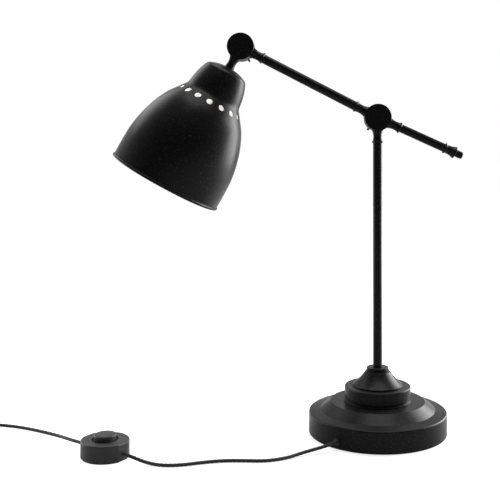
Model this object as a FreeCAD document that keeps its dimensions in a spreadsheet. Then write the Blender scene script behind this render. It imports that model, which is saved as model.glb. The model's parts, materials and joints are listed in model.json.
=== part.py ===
import FreeCAD, Part
import math
import operator
import os
import types

import Sketcher

# A desk lamp: stepped round base, thin upright pole, a jointed arm whose short rear rod balances the
# long front one, a bell shade with a ring of vents, and a foot switch on the mains cord.
#
# Frame: origin under the middle of the base, +Z up, +X to the right of the front view, so that the
# head hangs at -X; +Y points away from the viewer. Lengths in millimetres, angles in degrees.

Vector = FreeCAD.Vector

# ---------------------------------------------------------------------------------------------
# Driving dimensions
# ---------------------------------------------------------------------------------------------

SIZES = [
    # base pressing and what lies under it
    ("base_radius", 90.0),
    ("base_lift", 0.8),
    ("rim_height", 28.3),
    ("rim_round", 2.2),
    ("sheet_wall", 1.5),
    ("slope_foot_radius", 75.0),
    ("slope_foot_height", 30.4),
    ("slope_top_radius", 61.5),
    ("step_height", 40.8),
    ("pad_thickness", 3.0),
    ("pad_inset", 2.2),
    ("weight_inset", 5.0),
    ("weight_thickness", 12.0),
    ("weight_hub_radius", 26.0),
    ("nut_recess_radius", 19.0),
    ("nut_recess_height", 26.0),
    # upper drum, cone and collar
    ("tier_radius", 43.2),
    ("tier_height", 19.5),
    ("tier_flange", 1.0),
    ("tier_flange_height", 1.6),
    ("tier_groove", 0.8),
    ("tier_round", 1.6),
    ("cone_foot_radius", 32.8),
    ("cone_foot_height", 1.6),
    ("cone_foot_step", 1.0),
    ("cone_top_radius", 16.2),
    ("cone_height", 18.5),
    ("cone_hollow", 60.0),
    ("cone_wall", 3.2),
    ("collar_radius", 14.4),
    ("collar_waist", 13.0),
    ("collar_height", 5.6),
    ("pole_seat", 4.0),
    # threaded stem that clamps the base together
    ("thread_radius", 4.95),
    ("thread_bore", 3.2),
    ("thread_clearance", 0.25),
    ("stem_overhang", 8.0),
    ("stem_grip", 14.0),
    ("nut_across", 8.1),
    ("nut_thickness", 4.0),
    ("washer_radius", 10.0),
    ("washer_thickness", 1.5),
    # tubes and rods
    ("tube_wall", 1.0),
    ("rod_radius", 5.5),
    ("rod_end", 96.0),
    ("fit_gap", 0.05),
    # places and directions of the joints
    ("elbow_height", 411.4),
    ("arm_length", 202.0),
    ("front_arm_rise", 27.3),
    ("rear_rod_drop", 24.4),
    ("shade_tilt", 29.3),
    # joint drums
    ("drum_radius", 17.7),
    ("drum_half", 11.0),
    ("drum_round", 1.0),
    ("seam_gap", 0.5),
    ("swing_gap", 0.35),
    ("cavity_inner", 7.0),
    ("cavity_outer", 13.6),
    ("cavity_depth", 7.4),
    ("stud_radius", 3.0),
    ("stud_gap", 0.08),
    ("stud_cover", 2.0),
    ("spring_washer", 0.9),
    ("washer_gap", 0.05),
    # necks that grow out of the drums
    ("neck_root", 8.4),
    ("neck_flare_radius", 9.5),
    ("neck_flare_start", 13.0),
    ("neck_waist", 5.7),
    ("neck_waist_start", 23.5),
    ("neck_waist_end", 27.0),
    ("neck_bead_radius", 7.6),
    ("neck_bead", 31.8),
    ("neck_end", 33.6),
    ("spigot_length", 12.0),
    ("rear_spigot_radius", 3.95),
    ("wire_gap", 0.6),
    ("wire_bend_past_drum", 8.3),
    ("wire_lean", 20.0),
    ("shade_neck_waist", 5.4),
    ("shade_neck_flange", 6.6),
    ("shade_neck_end", 32.0),
    ("shade_spigot", 15.0),
    # clamping knobs behind the drums
    ("knob_radius", 17.2),
    ("knob_thickness", 8.0),
    ("knob_ear_reach", 19.6),
    ("knob_ear_height", 15.5),
    ("knob_ear_thickness", 2.6),
    ("elbow_knob_angle", 232.0),
    ("head_knob_angle", 302.0),
    # finial on the rear rod
    ("finial_ring", 7.1),
    ("finial_waist", 5.7),
    ("finial_bell", 8.0),
    ("finial_bell_at", 110.5),
    ("finial_neck", 3.1),
    ("finial_tip", 4.4),
    ("finial_tip_at", 114.0),
    ("finial_end", 122.5),
    ("finial_spigot", 2.5),
    # shade, measured along its axis from the head joint
    ("shade_wall", 1.0),
    ("cap_round_radius", 30.0),
    ("cap_round_at", 42.0),
    ("cap_side_radius", 36.0),
    ("cap_side_at", 60.0),
    ("cap_foot_at", 70.0),
    ("shoulder_radius", 45.5),
    ("shoulder_at", 84.0),
    ("crown_foot_radius", 50.6),
    ("crown_foot_at", 90.8),
    ("bell_upper_radius", 56.6),
    ("bell_upper_at", 100.0),
    ("bell_middle_radius", 68.6),
    ("bell_middle_at", 130.0),
    ("bell_lower_radius", 74.9),
    ("bell_lower_at", 165.0),
    ("mouth_radius", 75.2),
    ("mouth_at", 199.8),
    ("rim_bead", 4.0),
    ("vent_count", 16),
    ("vent_radius", 4.5),
    ("vent_ring", 44.5),
    ("vent_at", 82.6),
    ("vent_lean", 55.0),
    ("vent_phase", -7.0),
    # lampholder with an Edison screw of 27 mm
    ("holder_nut_thickness", 4.0),
    ("holder_start", 40.0),
    ("holder_dome_end", 58.0),
    ("holder_radius", 20.0),
    ("holder_end", 92.0),
    ("holder_wall", 2.4),
    ("screw_shell_radius", 13.35),
    ("screw_shell_wall", 0.5),
    ("screw_shell_length", 24.0),
    ("insert_radius", 16.0),
    ("contact_radius", 4.0),
    ("contact_height", 3.0),
    # cord and the leads inside
    ("cord_diameter", 4.2),
    ("cord_exit_angle", 231.2),
    ("cord_exit_height", 10.0),
    ("bush_radius", 3.4),
    ("bush_flange", 4.6),
    ("clamp_radius", 52.0),
    # foot switch
    ("switch_x", -334.6),
    ("switch_y", -93.0),
    ("switch_turn", -31.0),
    ("switch_half_length", 27.6),
    ("switch_half_width", 26.0),
    ("switch_end_half", 7.0),
    ("switch_height", 21.0),
    ("switch_lift", 1.4),
    ("switch_wall", 2.0),
    ("switch_round", 1.6),
    ("switch_cord_height", 9.0),
    ("button_radius", 13.2),
    ("button_hole", 15.6),
    ("button_top", 27.7),
    ("button_round", 2.0),
    ("button_travel", 3.0),
    ("button_flange", 17.0),
    ("spring_radius", 6.0),
    ("spring_wire", 0.9),
    ("spring_turns", 4),
    # plug
    ("plug_heading", 196.0),
    ("plug_x", -652.2),
    ("plug_y", -2.8),
    ("plug_thickness", 13.7),
    ("plug_half_width", 17.6),
    ("plug_length", 34.0),
    ("relief_length", 24.0),
    ("relief_radius", 4.2),
    ("pin_spacing", 18.6),
    ("pin_radius", 2.0),
    ("pin_length", 19.0),
    # coil of the put-away cord
    ("coil_turns_a_layer", 2.51),
    ("coil_layers", 4),
    ("coil_outer", 30.0),
    ("coil_gap", 0.6),
    ("coil_rise_gap", 0.5),
    ("coil_start_angle", 85.0),
    ("coil_start_x", -537.0),
    ("coil_start_y", 21.0),
]

OPERATORS = {"+": operator.add, "-": operator.sub, "*": operator.mul, "/": operator.truediv}


class Size:
    """A number, with the expression that works it out from the sheet."""

    def __init__(self, number, text):
        self.number = float(number)
        self.text = text

    def __add__(self, other):
        return combined(self, "+", other)

    def __radd__(self, other):
        return combined(other, "+", self)

    def __sub__(self, other):
        return combined(self, "-", other)

    def __rsub__(self, other):
        return combined(other, "-", self)

    def __mul__(self, other):
        return combined(self, "*", other)

    def __rmul__(self, other):
        return combined(other, "*", self)

    def __truediv__(self, other):
        return combined(self, "/", other)

    def __neg__(self):
        return combined(0, "-", self)


def as_size(value):
    if isinstance(value, Size):
        return value
    return Size(value, f"({float(value)})")


def combined(left, sign, right):
    left = as_size(left)
    right = as_size(right)
    number = OPERATORS[sign](left.number, right.number)
    return Size(number, f"({left.text} {sign} {right.text})")


def cosine(angle):
    angle = as_size(angle)
    return Size(math.cos(math.radians(angle.number)), f"cos({angle.text})")


def sine(angle):
    angle = as_size(angle)
    return Size(math.sin(math.radians(angle.number)), f"sin({angle.text})")


def fill_sheet(document):
    """Write the driving dimensions into the sheet and return them as named sizes."""
    sheet = document.addObject("Spreadsheet::Sheet", "Sizes")
    named = types.SimpleNamespace()
    for row, (alias, value) in enumerate(SIZES, start=1):
        sheet.set(f"A{row}", alias)
        sheet.set(f"B{row}", str(value))
        sheet.setAlias(f"B{row}", alias)
        setattr(named, alias, Size(value, "Sizes." + alias))
    document.recompute()
    return named


doc = FreeCAD.newDocument("desk_lamp")
S = fill_sheet(doc)
nodes = []

# The tubes go over the threaded spigots and the stem.
tube_bore = S.thread_radius + S.fit_gap
tube_outer = tube_bore + S.tube_wall
# Bores that the leads pass through.
wire_bore = S.cord_diameter / 2 + S.wire_gap


# ---------------------------------------------------------------------------------------------
# Helpers: sketches, bodies, booleans and places
# ---------------------------------------------------------------------------------------------

SMOOTH = "smooth"


def keep(piece):
    """Mark a piece as one that is handed on under its label."""
    nodes.append(piece)
    return piece


def left_of(direction):
    return Vector(-direction.y, direction.x, 0)


def arc_centre(start, end, radius):
    """Centre of the short arc from start to end; a positive radius turns left, a negative right."""
    chord = end - start
    middle = start + chord * 0.5
    height = math.sqrt(max(radius * radius - chord.Length ** 2 / 4, 0.0))
    side = 1 if radius > 0 else -1
    return middle + left_of(chord).normalize() * (side * height)


def smooth_radius(start, direction, end):
    """Signed radius of the arc that leaves start along direction and reaches end."""
    chord = end - start
    return chord.Length ** 2 / (2 * chord.dot(left_of(direction)))


def outline(owner, name, plane, corners):
    """Closed sketch through corners (x, y), (x, y, radius) or (x, y, SMOOTH).

    The third entry tells how the corner is reached: by an arc of that radius, or by an arc that
    goes on in the direction of the run before. Every corner is bound to the sheet.
    """
    sketch = owner.newObject("Sketcher::SketchObject", name)
    support = [item for item in owner.Origin.OriginFeatures if item.Role == plane][0]
    sketch.AttachmentSupport = [(support, "")]
    sketch.MapMode = "FlatFace"
    sizes = [(as_size(corner[0]), as_size(corner[1])) for corner in corners]
    points = [Vector(x.number, y.number, 0) for x, y in sizes]
    bend = [corner[2] if len(corner) > 2 else None for corner in corners]
    count = len(corners)
    ends = []
    smooth_joints = []
    radii = []
    direction = None
    for index in range(count):
        start = points[index]
        following = (index + 1) % count
        end = points[following]
        how = bend[following]
        if how is None:
            sketch.addGeometry(Part.LineSegment(start, end), False)
            ends.append((1, 2))
            direction = (end - start).normalize()
            continue
        if how == SMOOTH:
            radius = smooth_radius(start, direction, end)
            smooth_joints.append(index)
        else:
            radius = as_size(how).number
            radii.append((index, as_size(how)))
        centre = arc_centre(start, end, radius)
        first, last = (start, end) if radius > 0 else (end, start)
        turn_from = math.atan2(first.y - centre.y, first.x - centre.x)
        turn_to = math.atan2(last.y - centre.y, last.x - centre.x)
        circle = Part.Circle(centre, Vector(0, 0, 1), abs(radius))
        sketch.addGeometry(Part.ArcOfCircle(circle, turn_from, turn_to), False)
        ends.append((1, 2) if radius > 0 else (2, 1))
        direction = left_of(end - centre).normalize() * (1 if radius > 0 else -1)
    constraints = []
    bound = []
    for index in range(count):
        before = (index - 1) % count
        kind = "Tangent" if index in smooth_joints else "Coincident"
        constraints.append(Sketcher.Constraint(kind, before, ends[before][1], index, ends[index][0]))
    for index, (x, y) in enumerate(sizes):
        place = ends[index][0]
        bound.append((len(constraints), f"x{index}", x))
        constraints.append(Sketcher.Constraint("DistanceX", -1, 1, index, place, x.number))
        bound.append((len(constraints), f"y{index}", y))
        constraints.append(Sketcher.Constraint("DistanceY", -1, 1, index, place, y.number))
    for index, radius in radii:
        size = radius if radius.number > 0 else -radius
        bound.append((len(constraints), f"radius{index}", size))
        constraints.append(Sketcher.Constraint("Radius", index, size.number))
    sketch.addConstraint(constraints)
    for position, title, size in bound:
        sketch.renameConstraint(position, title)
        if "Sizes." in size.text:
            sketch.setExpression("Constraints." + title, size.text)
    return sketch


def new_body(label):
    body = doc.addObject("PartDesign::Body", label)
    body.Label = label
    return body


def turned(label, corners, plane="XZ_Plane", about="V_Axis"):
    """A piece turned on a lathe: an outline of (radius, height) revolved about the upright axis."""
    body = new_body(label)
    sketch = outline(body, label + "_profile", plane, corners)
    turning = body.newObject("PartDesign::Revolution", label + "_turning")
    turning.Profile = sketch
    turning.ReferenceAxis = (sketch, [about])
    turning.Angle = 360
    return body


def bound(piece, **sizes):
    """Set properties of a primitive to sizes of the sheet."""
    for name, size in sizes.items():
        piece.setExpression(name, as_size(size).text)
    return piece


def put(piece, x=0, y=0, z=0, turn=0, about="y"):
    """Move a piece to (x, y, z) and turn it about the axis named."""
    for direction, place in zip("xyz", (x, y, z)):
        piece.setExpression("Placement.Base." + direction, as_size(place).text)
        share = "1" if direction == about else "0"
        piece.setExpression("Placement.Rotation.Axis." + direction, share)
    piece.setExpression("Placement.Rotation.Angle", as_size(turn).text)
    return piece


def cylinder(name, radius, length, **place):
    piece = doc.addObject("Part::Cylinder", name)
    piece.Label = name
    return put(bound(piece, Radius=radius, Height=length), **place)


def block(name, size_x, size_y, size_z, **place):
    piece = doc.addObject("Part::Box", name)
    piece.Label = name
    return put(bound(piece, Length=size_x, Width=size_y, Height=size_z), **place)


def fused(name, pieces):
    piece = doc.addObject("Part::MultiFuse", name)
    piece.Label = name
    piece.Shapes = pieces
    return piece


def cut(name, base, tools):
    tool = tools[0] if len(tools) == 1 else fused(name + "_tools", tools)
    piece = doc.addObject("Part::Cut", name)
    piece.Label = name
    piece.Base = base
    piece.Tool = tool
    return piece


def from_shape(label, shape):
    """A piece whose form only Part's own functions make, such as a swept cord."""
    piece = doc.addObject("Part::Feature", label)
    piece.Label = label
    piece.Shape = shape
    return piece


# ---------------------------------------------------------------------------------------------
# Base
# ---------------------------------------------------------------------------------------------

tier_top = S.step_height + S.tier_height
cone_top = tier_top + S.cone_height
collar_top = cone_top + S.collar_height
pole_foot = collar_top - S.pole_seat
clear_radius = S.thread_radius + S.thread_clearance
elbow_z = S.elbow_height
head_x = -(S.arm_length * cosine(S.front_arm_rise))
head_z = elbow_z + S.arm_length * sine(S.front_arm_rise)


def base_shell():
    inner = S.base_radius - S.sheet_wall
    pressing = turned("base_pressing", [
        (S.base_radius, S.base_lift),
        (S.base_radius, S.rim_height - S.rim_round),
        (S.base_radius - S.rim_round, S.rim_height, S.rim_round),
        (S.slope_foot_radius, S.slope_foot_height),
        (S.slope_top_radius, S.step_height),
        (clear_radius, S.step_height),
        (clear_radius, S.step_height - S.sheet_wall),
        (S.slope_top_radius - S.sheet_wall / 2, S.step_height - S.sheet_wall),
        (S.slope_foot_radius - S.sheet_wall / 2, S.slope_foot_height - S.sheet_wall),
        (inner, S.rim_height - S.sheet_wall),
        (inner, S.base_lift),
    ])
    hole = doc.addObject("Part::Cylinder", "cord_hole")
    bound(hole, Radius=S.bush_radius + S.fit_gap, Height=S.base_radius)
    put(hole, z=S.cord_exit_height, turn=90)
    aimed = put(fused("cord_hole_aimed", [hole, hole_twin()]), turn=S.cord_exit_angle, about="z")
    return keep(cut("base_shell", pressing, [aimed]))


def hole_twin():
    """The outer end of the cord hole, so that the tool runs past the wall."""
    twin = doc.addObject("Part::Cylinder", "cord_hole_end")
    bound(twin, Radius=S.bush_radius + S.fit_gap, Height=S.sheet_wall * 2)
    return put(twin, x=S.base_radius - S.sheet_wall, z=S.cord_exit_height, turn=90)


def base_pad():
    radius = S.base_radius - S.sheet_wall - S.pad_inset
    return keep(turned("base_pad", [
        (0, 0), (radius, 0), (radius, S.pad_thickness), (0, S.pad_thickness),
    ]))


def base_weight():
    """Cast disc with a hub that carries the base top, a recess for the nut and a channel for the lead."""
    radius = S.base_radius - S.sheet_wall - S.weight_inset
    disc_top = S.pad_thickness + S.weight_thickness
    casting = turned("weight_casting", [
        (clear_radius, S.nut_recess_height),
        (S.nut_recess_radius, S.nut_recess_height),
        (S.nut_recess_radius, S.pad_thickness),
        (radius, S.pad_thickness),
        (radius, disc_top),
        (S.weight_hub_radius, disc_top),
        (S.weight_hub_radius, S.step_height - S.sheet_wall),
        (clear_radius, S.step_height - S.sheet_wall),
    ])
    width = S.cord_diameter + 2.4
    lead_top = S.cord_exit_height + width / 2
    channel = block("lead_channel", S.base_radius, width, lead_top - S.pad_thickness,
                    y=-width / 2, z=S.pad_thickness)
    clamp_seat = S.cord_exit_height - S.cord_diameter / 2
    recess = block("clamp_recess", 9.6, 20.4, clamp_seat - S.pad_thickness,
                   x=S.clamp_radius - 4.8, y=-10.2, z=S.pad_thickness)
    holes = [cylinder(f"clamp_hole_{side}", 1.3, 6.2, x=S.clamp_radius, y=6.6 * sign, z=clamp_seat - 0.2)
             for side, sign in (("a", -1), ("b", 1))]
    tools = put(fused("weight_tools", [channel, recess] + holes), turn=S.cord_exit_angle, about="z")
    return keep(cut("base_weight", casting, [tools]))


def cord_clamp():
    """Plate under the lead, and its two screws, in the recess of the weight."""
    clamp_seat = S.cord_exit_height - S.cord_diameter / 2
    plate = block("clamp_plate", 9, 19.6, 2.0, x=S.clamp_radius - 4.5, y=-9.8, z=clamp_seat - 2.0)
    holes = [cylinder(f"plate_hole_{side}", 1.35, 4, x=S.clamp_radius, y=6.6 * sign, z=clamp_seat - 3)
             for side, sign in (("a", -1), ("b", 1))]
    clamp = keep(cut("cord_clamp", plate, holes))
    put(clamp, turn=S.cord_exit_angle, about="z")
    screws = []
    for side, sign in (("a", -1), ("b", 1)):
        shank = cylinder(f"clamp_shank_{side}", 1.2, 7.6, x=S.clamp_radius, y=6.6 * sign, z=clamp_seat - 2.0)
        head = cylinder(f"clamp_head_{side}", 2.5, 1.6, x=S.clamp_radius, y=6.6 * sign, z=clamp_seat - 3.6)
        screws.append(fused(f"clamp_screw_{side}", [shank, head]))
    keep(put(fused("clamp_screws", screws), turn=S.cord_exit_angle, about="z"))


def upper_tier():
    foot = S.step_height
    groove_radius = S.tier_radius - S.tier_groove
    inner = groove_radius - S.sheet_wall
    return keep(turned("upper_tier", [
        (inner, foot),
        (S.tier_radius + S.tier_flange, foot),
        (S.tier_radius + S.tier_flange, foot + S.tier_flange_height),
        (groove_radius, foot + S.tier_flange_height + 0.4),
        (groove_radius, foot + S.tier_flange_height + 1.2),
        (S.tier_radius, foot + S.tier_flange_height + 1.8),
        (S.tier_radius, tier_top - S.tier_round),
        (S.tier_radius - S.tier_round, tier_top, S.tier_round),
        (clear_radius, tier_top),
        (clear_radius, tier_top - S.sheet_wall),
        (inner, tier_top - S.sheet_wall),
    ]))


def base_cone():
    """Hollow cone with a slightly hollow flank and a stepped foot."""
    flank_foot = tier_top + S.cone_foot_height + 0.6
    flank_radius = S.cone_foot_radius - S.cone_foot_step
    return keep(turned("base_cone", [
        (S.cone_foot_radius - S.cone_wall, tier_top),
        (S.cone_foot_radius, tier_top),
        (S.cone_foot_radius, tier_top + S.cone_foot_height),
        (flank_radius, flank_foot),
        (S.cone_top_radius, cone_top, -S.cone_hollow),
        (clear_radius, cone_top),
        (clear_radius, cone_top - 2.0),
        (S.cone_top_radius - 2.2, cone_top - 2.0),
        (S.cone_foot_radius - S.cone_wall, tier_top + 1.2),
    ]))


def stem_collar():
    seat = tube_outer + S.fit_gap
    return keep(turned("stem_collar", [
        (clear_radius, cone_top),
        (S.cone_top_radius - 0.8, cone_top),
        (S.cone_top_radius - 0.8, cone_top + 1.4),
        (S.collar_waist, cone_top + 2.0),
        (S.collar_waist, cone_top + 2.8),
        (S.collar_radius, cone_top + 3.4),
        (S.collar_radius, collar_top - 0.9),
        (S.collar_radius - 0.9, collar_top, 0.9),
        (seat, collar_top),
        (seat, pole_foot),
        (clear_radius, pole_foot),
    ]))


def threaded_stem():
    """Hollow stem with its washer and nut, which clamps the base together and carries the pole."""
    washer_top = S.nut_recess_height
    washer_foot = washer_top - S.washer_thickness
    nut_foot = washer_foot - S.nut_thickness
    keep(turned("base_stem", [
        (S.thread_bore, S.nut_recess_height - S.stem_overhang),
        (S.thread_radius, S.nut_recess_height - S.stem_overhang),
        (S.thread_radius, pole_foot + S.stem_grip),
        (S.thread_bore, pole_foot + S.stem_grip),
    ]))
    keep(turned("stem_washer", [
        (clear_radius, washer_foot), (S.washer_radius, washer_foot),
        (S.washer_radius, washer_top), (clear_radius, washer_top),
    ]))
    keep(hex_nut("stem_nut", S.nut_across, S.nut_thickness, S.thread_radius + S.fit_gap, z=nut_foot))


def hex_nut(label, corner_radius, thickness, bore, **place):
    blank = doc.addObject("Part::Prism", label + "_blank")
    blank.Polygon = 6
    bound(blank, Circumradius=corner_radius, Height=thickness)
    hole = cylinder(label + "_hole", bore, thickness)
    return put(cut(label, blank, [hole]), **place)


def cord_bush():
    """Flanged bush in the side of the base, where the cord comes out."""
    flange = S.base_radius + 0.8
    bore = S.cord_diameter / 2 + S.fit_gap
    ring = turned("cord_bush", [
        (S.base_radius - S.sheet_wall - 1.5, bore),
        (flange, bore),
        (flange, S.bush_flange),
        (S.base_radius, S.bush_flange),
        (S.base_radius, S.bush_radius),
        (S.base_radius - S.sheet_wall - 1.5, S.bush_radius),
    ], about="H_Axis")
    return keep(put(ring, z=S.cord_exit_height, turn=S.cord_exit_angle, about="z"))


def pole():
    inner = tube_bore
    top = elbow_z - S.neck_end
    return keep(turned("pole", [
        (inner, pole_foot), (tube_outer, pole_foot), (tube_outer, top), (inner, top),
    ]))


# ---------------------------------------------------------------------------------------------
# Swivel joints: two half drums, a stud, washers and a knob
# ---------------------------------------------------------------------------------------------

def tube_neck(name, direction, spigot_radius):
    """A spool-shaped neck with a spigot for a tube, pointing at an angle above +X."""
    neck = turned(name, [
        (0, S.neck_root),
        (S.neck_flare_radius, S.neck_root),
        (S.neck_flare_radius, S.neck_flare_start),
        (S.neck_waist, S.neck_waist_start, -22.0),
        (S.neck_waist, S.neck_waist_end),
        (S.neck_bead_radius, S.neck_bead, -7.1),
        (S.neck_bead_radius - 0.2, S.neck_bead + 0.8),
        (tube_outer, S.neck_end),
        (spigot_radius, S.neck_end),
        (spigot_radius, S.neck_end + S.spigot_length),
        (0, S.neck_end + S.spigot_length),
    ])
    return put(neck, turn=90 - direction)


def shade_neck(name, direction):
    """The neck that the shade hangs on: it ends in a flange and a threaded spigot."""
    neck = turned(name, [
        (0, S.neck_root),
        (S.neck_flare_radius, S.neck_root),
        (S.neck_flare_radius, S.neck_flare_start),
        (S.shade_neck_waist, S.neck_waist_start, -22.0),
        (S.shade_neck_flange, S.shade_neck_end - 0.8, -30.0),
        (S.shade_neck_flange, S.shade_neck_end),
        (S.thread_radius, S.shade_neck_end),
        (S.thread_radius, S.shade_neck_end + S.shade_spigot),
        (0, S.shade_neck_end + S.shade_spigot),
    ])
    return put(neck, turn=90 - direction)


def wire_way(name, direction, side, end):
    """Bore along a neck that leans into the hollow of its own half drum, side -1 front or +1 rear."""
    lean = S.wire_lean
    bend = S.drum_radius + S.wire_bend_past_drum
    run = cylinder(name + "_run", wire_bore, end - bend + 1, z=bend)
    slant = cylinder(name + "_slant", wire_bore, 14.0, z=bend, turn=180 + lean * side, about="x")
    knuckle = doc.addObject("Part::Sphere", name + "_knuckle")
    put(bound(knuckle, Radius=wire_bore), z=bend)
    return put(fused(name, [run, slant, knuckle]), turn=90 - direction)


def half_drum(label, side, necks, ways):
    """One half of a swivel joint about the Y axis: side -1 is the front half, +1 the rear one."""
    inner = S.seam_gap / 2
    swing = S.drum_radius + S.swing_gap
    disc = turned(label + "_disc", [
        (0, side * inner),
        (S.drum_radius, side * inner),
        (S.drum_radius, side * (S.drum_half - S.drum_round)),
        (S.drum_radius - S.drum_round, side * S.drum_half, side * S.drum_round),
        (0, side * S.drum_half),
    ], plane="XY_Plane")
    hollow = turned(label + "_hollow", [
        (S.cavity_inner, side * (inner - 0.1)),
        (S.cavity_outer, side * (inner - 0.1)),
        (S.cavity_outer, side * S.cavity_depth),
        (S.cavity_inner, side * S.cavity_depth),
    ], plane="XY_Plane")
    room = turned(label + "_room", [
        (0, -side * (S.drum_half + 2)),
        (swing, -side * (S.drum_half + 2)),
        (swing, side * inner),
        (0, side * inner),
    ], plane="XY_Plane")
    clipped = cut(label + "_necks", fused(label + "_neck_set", necks) if len(necks) > 1 else necks[0], [room])
    solid = fused(label + "_solid", [disc, clipped])
    if side < 0:
        bore = (S.stud_radius + 0.02, S.drum_half - S.stud_cover)
    else:
        bore = (S.stud_radius + S.stud_gap, S.drum_half + 1)
    stud_hole = turned(label + "_stud_hole", [
        (0, 0), (bore[0], 0), (bore[0], side * bore[1]), (0, side * bore[1]),
    ], plane="XY_Plane")
    return cut(label, solid, [hollow, stud_hole] + ways)


def swivel_hardware(prefix, knob_angle, x, z):
    """Stud, friction washer, spring washer and eared knob of one joint."""
    knob_face = S.drum_half + S.spring_washer
    knob_back = knob_face + S.knob_thickness
    stud = turned(prefix + "_stud", [
        (0, -(S.drum_half - S.stud_cover)),
        (S.stud_radius, -(S.drum_half - S.stud_cover)),
        (S.stud_radius, knob_back + 2.6),
        (S.stud_radius - 0.6, knob_back + 3.2),
        (0, knob_back + 3.2),
    ], plane="XY_Plane")
    keep(put(stud, x=x, z=z))
    friction = turned(prefix + "_friction_washer", [
        (S.stud_radius + S.stud_gap, -S.seam_gap / 2),
        (S.cavity_inner - 0.3, -S.seam_gap / 2),
        (S.cavity_inner - 0.3, S.seam_gap / 2 - S.washer_gap),
        (S.stud_radius + S.stud_gap, S.seam_gap / 2 - S.washer_gap),
    ], plane="XY_Plane")
    keep(put(friction, x=x, z=z))
    spring = turned(prefix + "_spring_washer", [
        (S.stud_radius + S.stud_gap, S.drum_half),
        (S.stud_radius + 4.0, S.drum_half),
        (S.stud_radius + 4.0, knob_face - S.washer_gap),
        (S.stud_radius + S.stud_gap, knob_face - S.washer_gap),
    ], plane="XY_Plane")
    keep(put(spring, x=x, z=z))
    knob = turned(prefix + "_knob", [
        (S.stud_radius + S.stud_gap, knob_face),
        (S.knob_radius - 0.6, knob_face),
        (S.knob_radius, knob_face + 0.6),
        (S.knob_radius, knob_face + 4.2),
        (S.knob_radius - 3.8, knob_back - 1.0, 6.5),
        (S.stud_radius + 3.4, knob_back - 1.0),
        (S.stud_radius + 2.4, knob_back),
        (S.stud_radius + S.stud_gap, knob_back),
    ], plane="XY_Plane")
    for name, sign in (("left", -1), ("right", 1)):
        ear = knob_ear(knob, prefix, name, sign, knob_face)
    knob.Tip = ear
    keep(put(knob, x=x, z=z, turn=-knob_angle))


def knob_ear(knob, prefix, name, sign, knob_face):
    """One of the two thin ears of a knob; its tip stands a little outside the drum."""
    top = knob_face + S.knob_ear_height
    root = S.stud_radius + 2.6
    corners = [
        (sign * root, knob_face + 3.4),
        (sign * (S.knob_ear_reach - 1.6), knob_face + 3.4),
        (sign * S.knob_ear_reach, knob_face + 5.0, sign * 1.7),
        (sign * (S.knob_ear_reach - 4.2), top, sign * 12.5),
        (sign * (S.knob_ear_reach - 8.0), top - 1.2, sign * 3.2),
        (sign * root, knob_face + S.knob_thickness - 1.2),
    ]
    sketch = outline(knob, f"{prefix}_ear_{name}_outline", "XY_Plane", corners)
    pad = knob.newObject("PartDesign::Pad", f"{prefix}_ear_{name}")
    pad.Profile = sketch
    pad.Midplane = True
    pad.setExpression("Length", S.knob_ear_thickness.text)
    return pad


front_direction = 180 - S.front_arm_rise
rear_direction = -S.rear_rod_drop
back_to_elbow = -S.front_arm_rise
shade_direction = 270 - S.shade_tilt
spigot_end = S.neck_end + S.spigot_length
shade_spigot_end = S.shade_neck_end + S.shade_spigot


def elbow_joint():
    front = half_drum(
        "elbow_front_half", -1,
        [tube_neck("elbow_arm_neck", front_direction, S.thread_radius),
         tube_neck("elbow_rod_neck", rear_direction, S.rear_spigot_radius)],
        [wire_way("elbow_arm_way", front_direction, -1, spigot_end)])
    keep(put(front, z=elbow_z))
    rear = half_drum(
        "elbow_rear_half", 1,
        [tube_neck("elbow_pole_neck", as_size(-90), S.thread_radius)],
        [wire_way("elbow_pole_way", as_size(-90), 1, spigot_end)])
    keep(put(rear, z=elbow_z))
    swivel_hardware("elbow", S.elbow_knob_angle, 0, elbow_z)


def head_joint():
    rear = half_drum(
        "head_rear_half", 1,
        [tube_neck("head_arm_neck", back_to_elbow, S.thread_radius)],
        [wire_way("head_arm_way", back_to_elbow, 1, spigot_end)])
    keep(put(rear, x=head_x, z=head_z))
    front = half_drum(
        "head_front_half", -1,
        [shade_neck("head_shade_neck", shade_direction)],
        [wire_way("head_shade_way", shade_direction, -1, shade_spigot_end)])
    keep(put(front, x=head_x, z=head_z))
    swivel_hardware("head", S.head_knob_angle, head_x, head_z)


# ---------------------------------------------------------------------------------------------
# Arm tubes and finial
# ---------------------------------------------------------------------------------------------

def front_arm():
    inner = tube_bore
    foot = S.neck_end
    top = S.arm_length - S.neck_end
    tube = turned("front_arm", [
        (inner, foot), (tube_outer, foot), (tube_outer, top), (inner, top),
    ])
    return keep(put(tube, z=elbow_z, turn=90 - front_direction))


def rear_rod():
    """Solid steel rod that balances the arm, drilled at both ends."""
    foot = S.neck_end
    bore = S.rear_spigot_radius + S.fit_gap
    tip_bore = S.finial_spigot + S.fit_gap
    rod = turned("rear_rod", [
        (bore, foot),
        (S.rod_radius, foot),
        (S.rod_radius, S.rod_end),
        (tip_bore, S.rod_end),
        (tip_bore, S.rod_end - 9.0),
        (0, S.rod_end - 9.0),
        (0, foot + S.spigot_length + 0.5),
        (bore, foot + S.spigot_length + 0.5),
    ])
    return keep(put(rod, z=elbow_z, turn=90 - rear_direction))


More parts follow.
